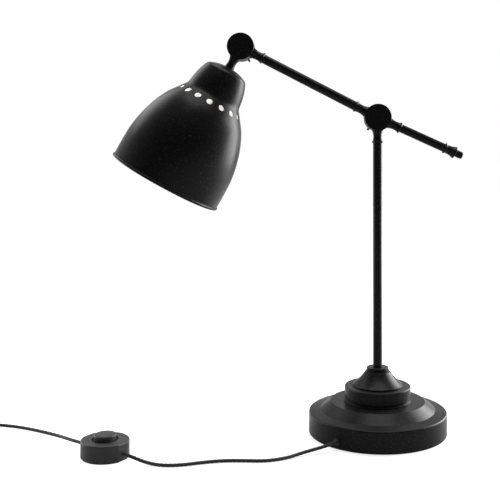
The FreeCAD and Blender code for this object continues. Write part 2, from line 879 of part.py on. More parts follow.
def rod_finial():
    finial = turned("rod_finial", [
        (0, S.rod_end - 8.5),
        (S.finial_spigot, S.rod_end - 8.5),
        (S.finial_spigot, S.rod_end),
        (S.finial_ring - 0.4, S.rod_end),
        (S.finial_ring, S.rod_end + 0.6),
        (S.finial_ring - 0.3, S.rod_end + 1.8),
        (S.finial_waist, S.rod_end + 3.2),
        (S.finial_waist + 0.2, S.rod_end + 6.5),
        (S.finial_bell, S.finial_bell_at, -19.5),
        (S.finial_bell - 0.5, S.finial_bell_at + 1.2, 1.6),
        (S.finial_neck, S.finial_bell_at + 1.6),
        (S.finial_neck, S.finial_tip_at),
        (S.finial_tip - 0.3, S.finial_tip_at),
        (S.finial_tip, S.finial_tip_at + 0.8),
        (S.finial_tip, S.finial_end - 2.2),
        (S.finial_tip - 2.2, S.finial_end, 2.2),
        (0, S.finial_end),
    ])
    return keep(put(finial, z=elbow_z, turn=90 - rear_direction))


# ---------------------------------------------------------------------------------------------
# Shade and lampholder, measured along the shade's axis from the head joint
# ---------------------------------------------------------------------------------------------

def on_shade_axis(piece):
    return put(piece, x=head_x, z=head_z, turn=90 - shade_direction)


def shade_bell():
    """The spun bell below the shoulder, with a rolled rim."""
    wall = S.shade_wall
    bead = S.rim_bead
    return keep(on_shade_axis(turned("shade", [
        (S.crown_foot_radius, S.crown_foot_at),
        (S.bell_upper_radius, S.bell_upper_at, 75.0),
        (S.bell_middle_radius, S.bell_middle_at, 150.0),
        (S.bell_lower_radius, S.bell_lower_at, 170.0),
        (S.mouth_radius, S.mouth_at, 500.0),
        (S.mouth_radius, S.mouth_at + bead, bead * 0.52),
        (S.mouth_radius - wall * 1.4, S.mouth_at + bead),
        (S.mouth_radius - wall, S.mouth_at),
        (S.bell_lower_radius - wall, S.bell_lower_at, -499.0),
        (S.bell_middle_radius - wall, S.bell_middle_at, -169.0),
        (S.bell_upper_radius - wall, S.bell_upper_at + wall * 0.5, -149.0),
        (S.crown_foot_radius - wall * 1.2, S.crown_foot_at, -74.0),
    ])))


def vented_crown():
    """The cap and shoulder above the bell, with one round vent repeated round the axis."""
    wall = S.shade_wall
    top = S.shade_neck_end
    crown = turned("shade_crown", [
        (clear_radius, top),
        (12.0, top),
        (S.cap_round_radius, S.cap_round_at, 20.5),
        (S.cap_side_radius, S.cap_side_at, 40.0),
        (S.cap_side_radius, S.cap_foot_at, 60.0),
        (S.shoulder_radius - 5.6, S.shoulder_at - 7.5, -12.0),
        (S.shoulder_radius, S.shoulder_at, 200.0),
        (S.crown_foot_radius, S.crown_foot_at, 400.0),
        (S.crown_foot_radius - wall * 1.2, S.crown_foot_at),
        (S.shoulder_radius - wall, S.shoulder_at + wall * 0.5, -399.0),
        (S.shoulder_radius - 5.6 - wall, S.shoulder_at - 7.5 + wall * 0.6, -199.0),
        (S.cap_side_radius - wall, S.cap_foot_at + wall * 0.3, 13.0),
        (S.cap_side_radius - wall, S.cap_side_at, -60.0),
        (S.cap_round_radius - wall * 0.8, S.cap_round_at + wall * 0.6, -39.0),
        (12.0, top + wall, -19.5),
        (clear_radius, top + wall),
    ])
    profile = crown.Group[0]
    vent = crown.newObject("PartDesign::SubtractiveCylinder", "vent")
    bound(vent, Radius=S.vent_radius, Height=12.0)
    support = [item for item in crown.Origin.OriginFeatures if item.Role == "XY_Plane"][0]
    vent.AttachmentSupport = [(support, "")]
    vent.MapMode = "FlatFace"
    depth = as_size(6.0)
    inset = S.vent_ring - depth * sine(S.vent_lean)
    places = {
        "Base.x": inset * cosine(S.vent_phase),
        "Base.y": inset * sine(S.vent_phase),
        "Base.z": S.vent_at + depth * cosine(S.vent_lean),
        "Rotation.Axis.x": -sine(S.vent_phase),
        "Rotation.Axis.y": cosine(S.vent_phase),
        "Rotation.Axis.z": as_size(0),
        "Rotation.Angle": 180 - S.vent_lean,
    }
    for name, size in places.items():
        vent.setExpression("AttachmentOffset." + name, size.text)
    ring = crown.newObject("PartDesign::PolarPattern", "vent_ring")
    ring.Originals = [vent]
    ring.Axis = (profile, ["V_Axis"])
    ring.Angle = 360
    ring.setExpression("Occurrences", S.vent_count.text)
    crown.Tip = ring
    return keep(on_shade_axis(crown))


def lampholder():
    top = S.shade_neck_end + S.shade_wall
    nut_top = top + S.washer_thickness
    keep(on_shade_axis(turned("shade_washer", [
        (clear_radius, top), (S.washer_radius, top), (S.washer_radius, nut_top), (clear_radius, nut_top),
    ])))
    keep(on_shade_axis_nut(nut_top))
    dome = S.holder_dome_end
    radius = S.holder_radius
    keep(on_shade_axis(turned("holder_cap", [
        (S.thread_radius + S.fit_gap, S.holder_start),
        (9.0, S.holder_start),
        (10.0, S.holder_start + 4.0),
        (radius - 1.0, dome - 6.0, 11.5),
        (radius, dome - 4.0),
        (radius, dome),
        (radius - S.holder_wall, dome),
        (radius - S.holder_wall, dome - 4.0),
        (9.0, S.holder_start + 7.5, -11.5),
        (S.thread_radius + S.fit_gap, S.holder_start + 7.5),
    ])))
    shell_outer = S.screw_shell_radius + S.screw_shell_wall
    shell_start = S.holder_end - S.screw_shell_length
    insert_top = shell_start - S.contact_height - 1.0
    keep(on_shade_axis(turned("holder_body", [
        (shell_outer + S.fit_gap, shell_start),
        (S.insert_radius + S.fit_gap, shell_start),
        (S.insert_radius + S.fit_gap, dome + 0.4),
        (radius, dome + 0.4),
        (radius, S.holder_end - 8.0),
        (radius - 2.0, S.holder_end + 1.0),
        (shell_outer + S.fit_gap, S.holder_end + 1.0),
    ])))
    keep(on_shade_axis(turned("screw_shell", [
        (S.screw_shell_radius, shell_start), (shell_outer, shell_start),
        (shell_outer, S.holder_end), (S.screw_shell_radius, S.holder_end),
    ])))
    insert = turned("insert_block", [
        (0, dome - 3.0), (S.insert_radius, dome - 3.0), (S.insert_radius, insert_top), (0, insert_top),
    ])
    screw_ways = [cylinder(f"terminal_way_{name}", 1.7, 7.0, x=9.0 * sign, z=dome - 3.5)
                  for name, sign in (("a", -1), ("b", 1))]
    keep(on_shade_axis(cut("holder_insert", insert, screw_ways)))
    screws = []
    for name, sign in (("a", -1), ("b", 1)):
        shank = cylinder(f"terminal_shank_{name}", 1.6, 6.4, x=9.0 * sign, z=dome - 3.0)
        head = cylinder(f"terminal_head_{name}", 2.8, 1.6, x=9.0 * sign, z=dome - 4.6)
        screws.append(fused(f"terminal_{name}", [shank, head]))
    keep(on_shade_axis(fused("terminal_screws", screws)))
    keep(on_shade_axis(turned("centre_contact", [
        (0, insert_top), (S.contact_radius, insert_top),
        (S.contact_radius, insert_top + S.contact_height - 1.2),
        (S.contact_radius - 1.2, insert_top + S.contact_height, 1.2),
        (0, insert_top + S.contact_height),
    ])))


def on_shade_axis_nut(nut_top):
    """Nut under the cap of the shade; it is placed on the slanted axis as one with its bore."""
    blank = doc.addObject("Part::Prism", "shade_nut_blank")
    blank.Polygon = 6
    bound(blank, Circumradius=S.nut_across, Height=S.holder_nut_thickness)
    put(blank, z=nut_top)
    hole = cylinder("shade_nut_hole", S.thread_radius + S.fit_gap, S.holder_nut_thickness, z=nut_top)
    return on_shade_axis(cut("shade_nut", blank, [hole]))


# ---------------------------------------------------------------------------------------------
# Foot switch
# ---------------------------------------------------------------------------------------------

def oval_corners(inset=0):
    """Corners of the switch's plan: two bowed sides between short flat ends."""
    long_half = S.switch_half_length - inset
    wide_half = S.switch_half_width - inset
    end_half = S.switch_end_half - as_size(inset) * 0.4
    rise = wide_half - end_half
    bow = (long_half * long_half + rise * rise) / (2 * rise)
    return [
        (long_half, -end_half, bow),
        (long_half, end_half),
        (-long_half, end_half, bow),
        (-long_half, -end_half),
    ]


def at_switch(piece):
    return put(piece, x=S.switch_x, y=S.switch_y, turn=S.switch_turn, about="z")


def raised(sketch, height):
    """Lift a sketch above its plane."""
    sketch.setExpression("AttachmentOffset.Base.z", as_size(height).text)


def prism(body, name, corners, foot, top, cutting=False):
    """Pad or pocket of an outline between two heights."""
    sketch = outline(body, name + "_outline", "XY_Plane", corners)
    raised(sketch, foot)
    kind = "PartDesign::Pocket" if cutting else "PartDesign::Pad"
    feature = body.newObject(kind, name)
    feature.Profile = sketch
    feature.Reversed = cutting
    feature.setExpression("Length", (as_size(top) - foot).text)
    return feature


def ring_outline(body, name, radius, foot, top):
    """Round pocket upwards between two heights."""
    sketch = body.newObject("Sketcher::SketchObject", name + "_outline")
    support = [item for item in body.Origin.OriginFeatures if item.Role == "XY_Plane"][0]
    sketch.AttachmentSupport = [(support, "")]
    sketch.MapMode = "FlatFace"
    raised(sketch, foot)
    sketch.addGeometry(Part.Circle(Vector(0, 0, 0), Vector(0, 0, 1), radius.number), False)
    sketch.addConstraint(Sketcher.Constraint("Coincident", 0, 3, -1, 1))
    sketch.addConstraint(Sketcher.Constraint("Radius", 0, radius.number))
    sketch.renameConstraint(1, "radius")
    sketch.setExpression("Constraints.radius", radius.text)
    pocket = body.newObject("PartDesign::Pocket", name)
    pocket.Profile = sketch
    pocket.Reversed = True
    pocket.setExpression("Length", (as_size(top) - foot).text)
    return pocket


def switch_cover():
    shell = new_body("switch_shell")
    outer = prism(shell, "cover_outer", oval_corners(), S.switch_lift, S.switch_height)
    doc.recompute()
    top_edges = [f"Edge{number}" for number, edge in enumerate(outer.Shape.Edges, start=1)
                 if min(vertex.Z for vertex in edge.Vertexes) > S.switch_height.number - 0.01]
    rounding = shell.newObject("PartDesign::Fillet", "cover_rounding")
    rounding.Base = (outer, top_edges)
    rounding.setExpression("Radius", S.switch_round.text)
    prism(shell, "cover_inner", oval_corners(S.switch_wall), S.switch_lift,
          S.switch_height - S.switch_wall, cutting=True)
    shell.Tip = ring_outline(shell, "button_opening", S.button_hole, S.switch_lift, S.switch_height + 1)
    ways = [cylinder(f"switch_way_{name}", S.cord_diameter / 2 + 0.15, 8.0,
                     x=S.switch_half_length * sign - 4.0, z=S.switch_cord_height, turn=90)
            for name, sign in (("near", 1), ("far", -1))]
    keep(at_switch(cut("switch_cover", shell, ways)))


def switch_base():
    """Floor plate with an upstanding lip inside the cover and a post for the spring."""
    plate = new_body("switch_plate")
    prism(plate, "plate_foot", oval_corners(1.2), 0, S.switch_lift)
    prism(plate, "plate_lip", oval_corners(S.switch_wall + 0.15), S.switch_lift, 3.4)
    post = prism(plate, "plate_post", square(3.4), 3.4, 7.0)
    plate.Tip = post
    holes = [cylinder(f"plate_screw_hole_{name}", 1.6, 5.0, x=20.0 * sign, z=-0.5)
             for name, sign in (("near", 1), ("far", -1))]
    keep(at_switch(cut("switch_base", plate, holes)))
    screws = []
    for name, sign in (("near", 1), ("far", -1)):
        shank = cylinder(f"switch_shank_{name}", 1.5, 6.0, x=20.0 * sign, z=0.3)
        nut = cylinder(f"switch_nut_{name}", 2.8, 1.6, x=20.0 * sign, z=3.45)
        screws.append(fused(f"switch_screw_{name}", [shank, nut]))
    keep(at_switch(fused("switch_screws", screws)))


def square(half):
    return [(half, -half), (half, half), (-half, half), (-half, -half)]


def switch_button():
    skirt = S.switch_height - S.switch_wall - 0.3
    return keep(at_switch(turned("switch_button", [
        (0, S.button_top),
        (0, S.button_top - 2.4),
        (S.button_radius - 2.0, S.button_top - 2.4),
        (S.button_radius - 2.0, skirt - 2.2),
        (S.button_flange, skirt - 2.2),
        (S.button_flange, skirt),
        (S.button_radius, skirt),
        (S.button_radius, S.button_top - S.button_round),
        (S.button_radius - S.button_round, S.button_top - 0.3, S.button_round),
    ])))


def switch_terminals():
    """Two brass terminal blocks that the cord's cores are clamped in."""
    pieces = []
    for name, sign in (("near", 1), ("far", -1)):
        pieces.append(block(f"terminal_block_{name}", 5.0, 7.0, 6.0, x=17.0 * sign - 2.5, y=4.0, z=3.4))
    keep(at_switch(fused("switch_terminals", pieces)))


# ---------------------------------------------------------------------------------------------
# Cord, leads, coil and plug
# ---------------------------------------------------------------------------------------------

CORD_RADIUS = S.cord_diameter.number / 2
FLOOR = CORD_RADIUS + 0.1
TURN_SHARE = 0.45


def circle_across(point, direction, radius):
    return Part.Wire([Part.Edge(Part.Circle(point, direction, radius))])


def swept(label, edges, start, direction, radius):
    """A round tube along joined edges, checked against its section times its length."""
    path = Part.Wire(edges)
    section = circle_across(start, direction, radius)
    tube = path.makePipeShell([section], True, False)
    expected = math.pi * radius ** 2 * path.Length
    share = tube.Volume / expected
    print(f"{label}: length {path.Length:.1f}, volume over section times length {share:.4f}")
    if abs(share - 1) > 0.01:
        raise ValueError(f"{label} is not a clean tube")
    return tube


def routed(points):
    """Straight runs joined by tangent arcs, each as large as its two runs allow."""
    edges = []
    radii = []
    here = points[0]
    for before, corner, after in zip(points, points[1:], points[2:]):
        back = (before - corner)
        ahead = (after - corner)
        reach = TURN_SHARE * min(back.Length, ahead.Length)
        back.normalize()
        ahead.normalize()
        bisector = (back + ahead)
        half_inside = back.getAngle(ahead) / 2
        radius = reach * math.tan(half_inside)
        enter = corner + back * reach
        leave = corner + ahead * reach
        middle = corner + bisector.normalize() * (radius / math.sin(half_inside) - radius)
        if (enter - here).Length > 1e-6:
            edges.append(Part.LineSegment(here, enter).toShape())
        edges.append(Part.Arc(enter, middle, leave).toShape())
        radii.append(radius)
        here = leave
    edges.append(Part.LineSegment(here, points[-1]).toShape())
    return edges, radii


def cord_tube(label, points):
    vectors = [Vector(*point) for point in points]
    edges, radii = routed(vectors)
    shape = swept(label, edges, vectors[0], vectors[1] - vectors[0], CORD_RADIUS)
    if radii:
        print(f"{label}: radii", " ".join(f"{radius:.0f}" for radius in radii))
    return keep(from_shape(label, shape))


def plane_point(angle, radius, height=0.0):
    turn = math.radians(angle)
    return Vector(radius * math.cos(turn), radius * math.sin(turn), height)


EXIT_ANGLE = S.cord_exit_angle.number
EXIT_HEIGHT = S.cord_exit_height.number
BASE_EXIT = tuple(plane_point(EXIT_ANGLE, S.base_radius.number + 0.8, EXIT_HEIGHT))
SWITCH_AXIS = plane_point(S.switch_turn.number, 1.0)
SWITCH_CENTRE = Vector(S.switch_x.number, S.switch_y.number, S.switch_cord_height.number)
SWITCH_NEAR = tuple(SWITCH_CENTRE + SWITCH_AXIS * S.switch_half_length.number)
SWITCH_FAR = tuple(SWITCH_CENTRE - SWITCH_AXIS * S.switch_half_length.number)

# Points of the free cord, chosen by hand along its way over the table.
TO_SWITCH = [
    BASE_EXIT,
    tuple(plane_point(EXIT_ANGLE, S.base_radius.number + 9.5, EXIT_HEIGHT)),
    (-71.5, -83.5, 8.6),
    (-84.0, -86.2, FLOOR + 3.8),
    (-99.0, -92.0, FLOOR + 1.5),
    (-117.0, -104.5, FLOOR),
    (-141.0, -114.0, FLOOR),
    (-166.0, -112.6, FLOOR),
    (-191.0, -112.4, FLOOR),
    (-215.5, -118.4, FLOOR),
    (-241.0, -127.6, FLOOR),
    (-264.0, -127.4, FLOOR),
    (-282.0, -119.6, FLOOR + 0.9),
    (-296.5, -114.4, 6.8),
    SWITCH_NEAR,
]
TO_COIL = [
    SWITCH_FAR,
    (-377.0, -65.4, 8.6),
    (-391.0, -50.2, FLOOR + 4.2),
    (-408.0, -30.8, FLOOR + 1.2),
    (-428.0, -15.0, FLOOR),
    (-452.0, -1.5, FLOOR),
    (-478.0, 10.5, FLOOR),
    (-502.0, 17.0, FLOOR),
]


def coil_station(turns):
    """Centreline of the coil after a number of turns: radius and height of the piled spiral."""
    a_layer = S.coil_turns_a_layer.number
    layers = int(S.coil_layers.number)
    layer = min(int(turns / a_layer), layers - 1)
    share = turns / a_layer - layer
    travel = (S.cord_diameter.number + S.coil_gap.number) * a_layer
    inward = share if layer % 2 == 0 else 1 - share
    radius = S.coil_outer.number - travel * inward
    height = FLOOR + (S.cord_diameter.number + S.coil_rise_gap.number) * layer
    for change in range(1, layers):
        ahead = turns - (change * a_layer - 0.25)
        if 0 < ahead < 0.5:
            height = FLOOR + (S.cord_diameter.number + S.coil_rise_gap.number) * (change - 1 + smooth_step(ahead * 2))
    return radius, height


def smooth_step(share):
    return share * share * (3 - 2 * share)


def coil_centre():
    start = Vector(S.coil_start_x.number, S.coil_start_y.number, 0)
    return start - plane_point(S.coil_start_angle.number, S.coil_outer.number)


def coil_point(turns):
    radius, height = coil_station(turns)
    return coil_centre() + plane_point(S.coil_start_angle.number + 360 * turns, radius, height)


def coil_direction(turns):
    step = 0.002
    total = S.coil_turns_a_layer.number * S.coil_layers.number
    after = min(turns + step, total)
    before = max(turns - step, 0)
    return (coil_point(after) - coil_point(before)).normalize()


def arc_from(start, direction, end):
    chord = end - start
    across = (chord - direction * chord.dot(direction)).normalize()
    radius = chord.Length ** 2 / (2 * chord.dot(across))
    half_turn = math.asin(min(1.0, chord.Length / (2 * radius)))
    middle = start + direction * (radius * math.sin(half_turn)) + across * (radius * (1 - math.cos(half_turn)))
    return Part.Arc(start, middle, end).toShape()


def biarc(start, direction, end, end_direction):
    """Two arcs that leave start and reach end in the directions given."""
    chord = end - start
    both = direction + end_direction
    bend = 2 * (1 - direction.dot(end_direction))
    along = chord.dot(both)
    reach = (-along + math.sqrt(along ** 2 + bend * chord.dot(chord))) / bend
    joint = (start + end + (direction - end_direction) * reach) * 0.5
    joint_direction = (end - end_direction * reach - start - direction * reach).normalize()
    return [arc_from(start, direction, joint), arc_from(joint, joint_direction, end)]


def wound_edges(point_at, direction_at, total, step):
    """Biarcs through stations a steady step apart, along a curve counted in turns."""
    edges = []
    count = int(round(total / step))
    stations = [total * index / count for index in range(count + 1)]
    for before, after in zip(stations, stations[1:]):
        edges += biarc(point_at(before), direction_at(before), point_at(after), direction_at(after))
    return edges


def least_gap(points, diameter, own_reach):
    """Least clear gap between a tube and itself, measured on points along its centreline."""
    least = 1e9
    travelled = [0.0]
    for before, after in zip(points, points[1:]):
        travelled.append(travelled[-1] + (after - before).Length)
    for first in range(0, len(points), 2):
        for second in range(first + 1, len(points)):
            if travelled[second] - travelled[first] < own_reach:
                continue
            least = min(least, (points[first] - points[second]).Length)
    return least - diameter


def cord_coil():
    total = S.coil_turns_a_layer.number * S.coil_layers.number
    start = coil_point(0)
    lead_in = coil_direction(0)
    lead_out = coil_direction(total)
    end = coil_point(total)
    straight = S.cord_diameter.number
    edges = [Part.LineSegment(start - lead_in * straight, start).toShape()]
    edges += wound_edges(coil_point, coil_direction, total, 0.5)
    edges.append(Part.LineSegment(end, end + lead_out * straight).toShape())
    shape = swept("cord_coil", edges, start - lead_in * straight, lead_in, CORD_RADIUS)
    samples = [coil_point(total * index / 900) for index in range(901)]
    print(f"cord_coil: least gap to itself {least_gap(samples, S.cord_diameter.number, 40.0):.2f}")
    keep(from_shape("cord_coil", shape))
    return start - lead_in * straight, end + lead_out * straight, lead_out


def plug_parts():
    """Flat two-pin plug lying on its broad side, with a tapered relief on the cord."""
    middle = S.plug_thickness / 2
    half = S.plug_half_width
    body = new_body("plug_shell")
    sketch = outline(body, "plug_plan", "XY_Plane", [
        (0, -5.0),
        (6.0, -(half - 5.5)),
        (S.plug_length - 9.0, -half),
        (S.plug_length, -half),
        (S.plug_length, half),
        (S.plug_length - 9.0, half),
        (6.0, half - 5.5),
        (0, 5.0),
    ])
    pad = body.newObject("PartDesign::Pad", "plug_pad")
    pad.Profile = sketch
    pad.setExpression("Length", S.plug_thickness.text)
    doc.recompute()
    upright = [f"Edge{number}" for number, edge in enumerate(pad.Shape.Edges, start=1)
               if abs(edge.Vertexes[0].Z - edge.Vertexes[-1].Z) < 0.01]
    rounding = body.newObject("PartDesign::Fillet", "plug_rounding")
    rounding.Base = (pad, upright)
    rounding.Radius = 2.6
    bore = S.cord_diameter / 2 + S.fit_gap
    relief = turned("plug_relief", [
        (-S.relief_length, bore),
        (-S.relief_length, bore + 0.65),
        (0, S.relief_radius),
        (4.0, S.relief_radius),
        (4.0, 0),
        (-(S.relief_length / 2), 0),
        (-(S.relief_length / 2), bore),
    ], about="H_Axis")
    put(relief, z=middle)
    whole = fused("plug_body", [body, relief])
    keep(put(whole, x=S.plug_x, y=S.plug_y, turn=S.plug_heading, about="z"))
    pins = []
    for name, sign in (("left", 1), ("right", -1)):
        pin = turned(f"plug_pin_{name}", [
            (S.plug_length, 0),
            (S.plug_length, S.pin_radius),
            (S.plug_length + S.pin_length - 1.2, S.pin_radius),
            (S.plug_length + S.pin_length, S.pin_radius - 1.2, 1.2),
            (S.plug_length + S.pin_length, 0),
        ], about="H_Axis")
        pins.append(put(pin, y=S.pin_spacing * 0.5 * sign, z=middle))
    keep(put(fused("plug_pins", pins), x=S.plug_x, y=S.plug_y, turn=S.plug_heading, about="z"))


def free_cord():
    cord_tube("cord_to_switch", TO_SWITCH)
    coil_start, coil_end, coil_heading = cord_coil()
    before_coil = coil_start - coil_direction(0) * 14.0
    cord_tube("cord_to_coil", TO_COIL + [tuple(before_coil), tuple(coil_start)])
    heading = plane_point(S.plug_heading.number, 1.0)
    plug_root = Vector(S.plug_x.number, S.plug_y.number, S.plug_thickness.number / 2)
    relief_mouth = plug_root - heading * S.relief_length.number
    level_end = coil_end + coil_heading * 15.0
    level_start = relief_mouth - heading * 14.0
    slope = level_start - level_end
    middle = level_end + slope * 0.47 - left_of(slope).normalize() * 1.3
    cord_tube("cord_to_plug", [tuple(coil_end), tuple(level_end), tuple(middle), tuple(level_start),
                               tuple(plug_root - heading * (S.relief_length.number / 2))])


def inner_leads():
    """The cord inside the base and pole, and the leads inside the arm and the head."""
    lean = math.tan(math.radians(S.wire_lean.number))
    bend = (S.drum_radius + S.wire_bend_past_drum).number
    drop = 13.0

    def leaning_end(centre, direction, side):
        """Last points of a lead in a neck: the bend, and the end in the hollow of the half drum."""
        corner = centre + direction * bend
        inside = centre + direction * (bend - drop) + Vector(0, side * drop * lean, 0)
        return corner, inside

    elbow = Vector(0, 0, elbow_z.number)
    head = Vector(head_x.number, 0, head_z.number)
    down = Vector(0, 0, -1)
    to_head = (head - elbow).normalize()
    shade_way = plane_direction(shade_direction.number)
    corner, inside = leaning_end(elbow, down, 1)
    cord_tube("base_lead", [
        BASE_EXIT,
        tuple(plane_point(EXIT_ANGLE, 32.0, EXIT_HEIGHT)),
        tuple(plane_point(EXIT_ANGLE, 17.8, EXIT_HEIGHT - 0.3)),
        (0.0, 0.0, EXIT_HEIGHT),
        tuple(corner),
        tuple(inside),
    ])
    near, near_end = leaning_end(elbow, to_head, -1)
    far, far_end = leaning_end(head, to_head * -1, 1)
    cord_tube("arm_lead", [tuple(near_end), tuple(near), tuple(far), tuple(far_end)])
    neck, neck_end = leaning_end(head, shade_way, -1)
    holder_way = head + shade_way * (S.shade_neck_end.number + S.shade_spigot.number + 3.0)
    cord_tube("head_lead", [tuple(neck_end), tuple(neck), tuple(holder_way)])


def plane_direction(angle):
    turn = math.radians(angle)
    return Vector(math.cos(turn), 0, math.sin(turn))


def button_spring():
    """Coil spring under the button, wound as one wire."""
    wire = S.spring_wire.number / 2
    turns = S.spring_turns.number
    foot = 3.4 + wire + 0.05
    top = S.button_top.number - 2.4 - wire - 0.1
    rise = (top - foot) / turns
    centre = Vector(S.switch_x.number, S.switch_y.number, 0)

    def point_at(count):
        return centre + plane_point(360 * count, S.spring_radius.number, foot + rise * count)

    def direction_at(count):
        around = plane_point(360 * count + 90, 2 * math.pi * S.spring_radius.number, rise)
        return around.normalize()

    edges = wound_edges(point_at, direction_at, turns, 0.25)
    keep(from_shape("switch_spring", swept("switch_spring", edges, point_at(0), direction_at(0), wire)))


# ---------------------------------------------------------------------------------------------
# Build, check and write
# ---------------------------------------------------------------------------------------------

def build():
    base_pad()
    base_weight()
    base_shell()
    cord_clamp()
    upper_tier()
    base_cone()
    stem_collar()
    threaded_stem()
    cord_bush()
    pole()
    elbow_joint()
    head_joint()
    front_arm()
    rear_rod()
    rod_finial()
    vented_crown()
    shade_bell()
    lampholder()
    switch_base()
    switch_cover()
    switch_terminals()
    switch_button()
    button_spring()
    plug_parts()
    free_cord()
    inner_leads()
    doc.recompute()


def check():
    for item in doc.Objects:
        for state in item.State:
            if state in ("Invalid", "Error"):
                raise ValueError(f"{item.Label} did not build")
    for piece in nodes:
        if piece.Shape.isNull() or not piece.Shape.isValid() or not piece.Shape.Solids:
            raise ValueError(f"{piece.Label} has no sound solid")


def write():
    os.makedirs("parts", exist_ok=True)
    for piece in nodes:
        piece.Shape.exportStep(f"parts/{piece.Label}.step")
    print(len(nodes), "nodes written")


build()
check()
write()
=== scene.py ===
import json
import math

import bmesh
import bpy
from mathutils import Matrix, Vector


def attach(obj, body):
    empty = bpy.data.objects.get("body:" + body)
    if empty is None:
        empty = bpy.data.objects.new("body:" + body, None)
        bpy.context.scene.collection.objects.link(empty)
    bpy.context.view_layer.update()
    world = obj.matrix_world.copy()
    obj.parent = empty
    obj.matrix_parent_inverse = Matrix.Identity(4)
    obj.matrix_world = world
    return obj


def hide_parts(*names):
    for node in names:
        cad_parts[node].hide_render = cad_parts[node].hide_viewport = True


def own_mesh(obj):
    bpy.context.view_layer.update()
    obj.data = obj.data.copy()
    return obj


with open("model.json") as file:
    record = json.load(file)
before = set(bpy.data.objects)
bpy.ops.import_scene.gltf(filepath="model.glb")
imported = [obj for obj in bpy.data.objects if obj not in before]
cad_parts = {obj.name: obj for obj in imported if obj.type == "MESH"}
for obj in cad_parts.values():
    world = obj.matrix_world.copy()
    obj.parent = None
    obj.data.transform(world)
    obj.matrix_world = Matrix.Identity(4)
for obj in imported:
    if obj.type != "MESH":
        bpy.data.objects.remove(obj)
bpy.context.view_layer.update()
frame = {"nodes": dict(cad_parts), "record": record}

# Places that the lamp's pieces share, in metres: the two swivel joints and the shade's axis.
ELBOW = Vector((0.0, 0.0, 0.4114))
ARM_RISE = math.radians(27.3)
ARM_SPAN = 0.2020
HEAD = ELBOW + Vector((-math.cos(ARM_RISE), 0.0, math.sin(ARM_RISE))) * ARM_SPAN
SHADE_TILT = math.radians(29.3)
SHADE_AXIS = Vector((-math.sin(SHADE_TILT), 0.0, -math.cos(SHADE_TILT)))
ON_SHADE = Matrix.Translation(HEAD) @ Matrix.Rotation(SHADE_TILT - math.pi, 4, "Y")
ROD_DROP = math.radians(24.4)
ON_ROD = Matrix.Translation(ELBOW) @ Matrix.Rotation(math.radians(90) + ROD_DROP, 4, "Y")

# Mains cord.
CORD_WIDTH = 0.0042
CORD_LAY = 0.0155
CORD_EXIT_TURN = math.radians(231.2)


def around(angle, radius, height=0.0):
    """A point at a turn about the upright axis."""
    return Vector((radius * math.cos(angle), radius * math.sin(angle), height))


# ---------------------------------------------------------------------------------------------
# Camera, floor and light
# ---------------------------------------------------------------------------------------------

def set_camera():
    """The photograph's view: level, a little under the head joint, with the frame shifted down and left."""
    data = bpy.data.cameras.new("photo_camera")
    data.sensor_width = 36.0
    data.lens = 57.43
    data.shift_x = -0.1118
    data.shift_y = -0.1657
    data.clip_start = 0.01
    camera = bpy.data.objects.new("photo_camera", data)
    camera.location = (-0.094, -1.050, 0.346)
    camera.rotation_euler = (math.radians(90), 0.0, 0.0)
    bpy.context.scene.collection.objects.link(camera)
    bpy.context.scene.camera = camera


# Soft studio panels: name, place, the point looked at, width, height, watts and spread.
PANELS = [
    ("right_panel", Vector((1.10, 0.62, 0.45)), Vector((-0.05, 0.0, 0.28)), 1.05, 1.3, 58.0, math.pi),
    ("left_panel", Vector((-1.25, 0.40, 0.12)), Vector((-0.10, 0.0, 0.08)), 1.2, 0.70, 11.5, math.pi),
    ("left_high_panel", Vector((-0.75, 0.40, 0.95)), Vector((-0.20, 0.0, 0.42)), 0.5, 0.5, 2.2, math.pi),
    ("top_panel", Vector((0.05, 0.05, 1.8)), Vector((-0.1, 0.0, 0.0)), 1.3, 1.1, 22.0, math.pi),
    ("bounce_card", HEAD + SHADE_AXIS * 0.42, HEAD, 0.12, 0.12, 0.10, math.radians(44)),
]


def hang_panel(name, place, aim, width, height, watts, spread):
    """A soft studio panel that looks at a point and isn't seen itself."""
    data = bpy.data.lights.new(name, "AREA")
    data.shape = "RECTANGLE"
    data.size = width
    data.size_y = height
    data.energy = watts
    data.spread = spread
    panel = bpy.data.objects.new(name, data)
    panel.location = place
    panel.visible_camera = False
    panel.rotation_euler = (aim - place).to_track_quat("-Z", "Y").to_euler()
    bpy.context.scene.collection.objects.link(panel)


def seen_rays(nodes, links):
    """Masks for what the camera sees straight on, and for what it sees mirrored or through glass."""
    path = nodes.new("ShaderNodeLightPath")
    mirrored = reckon(nodes, links, "MAXIMUM", path.outputs["Is Glossy Ray"],
                      path.outputs["Is Transmission Ray"])
    return path.outputs["Is Camera Ray"], mirrored


ROOM_GLOW = 0.20
DIM_SIDE = 0.14
BRIGHT_SIDE = 0.8


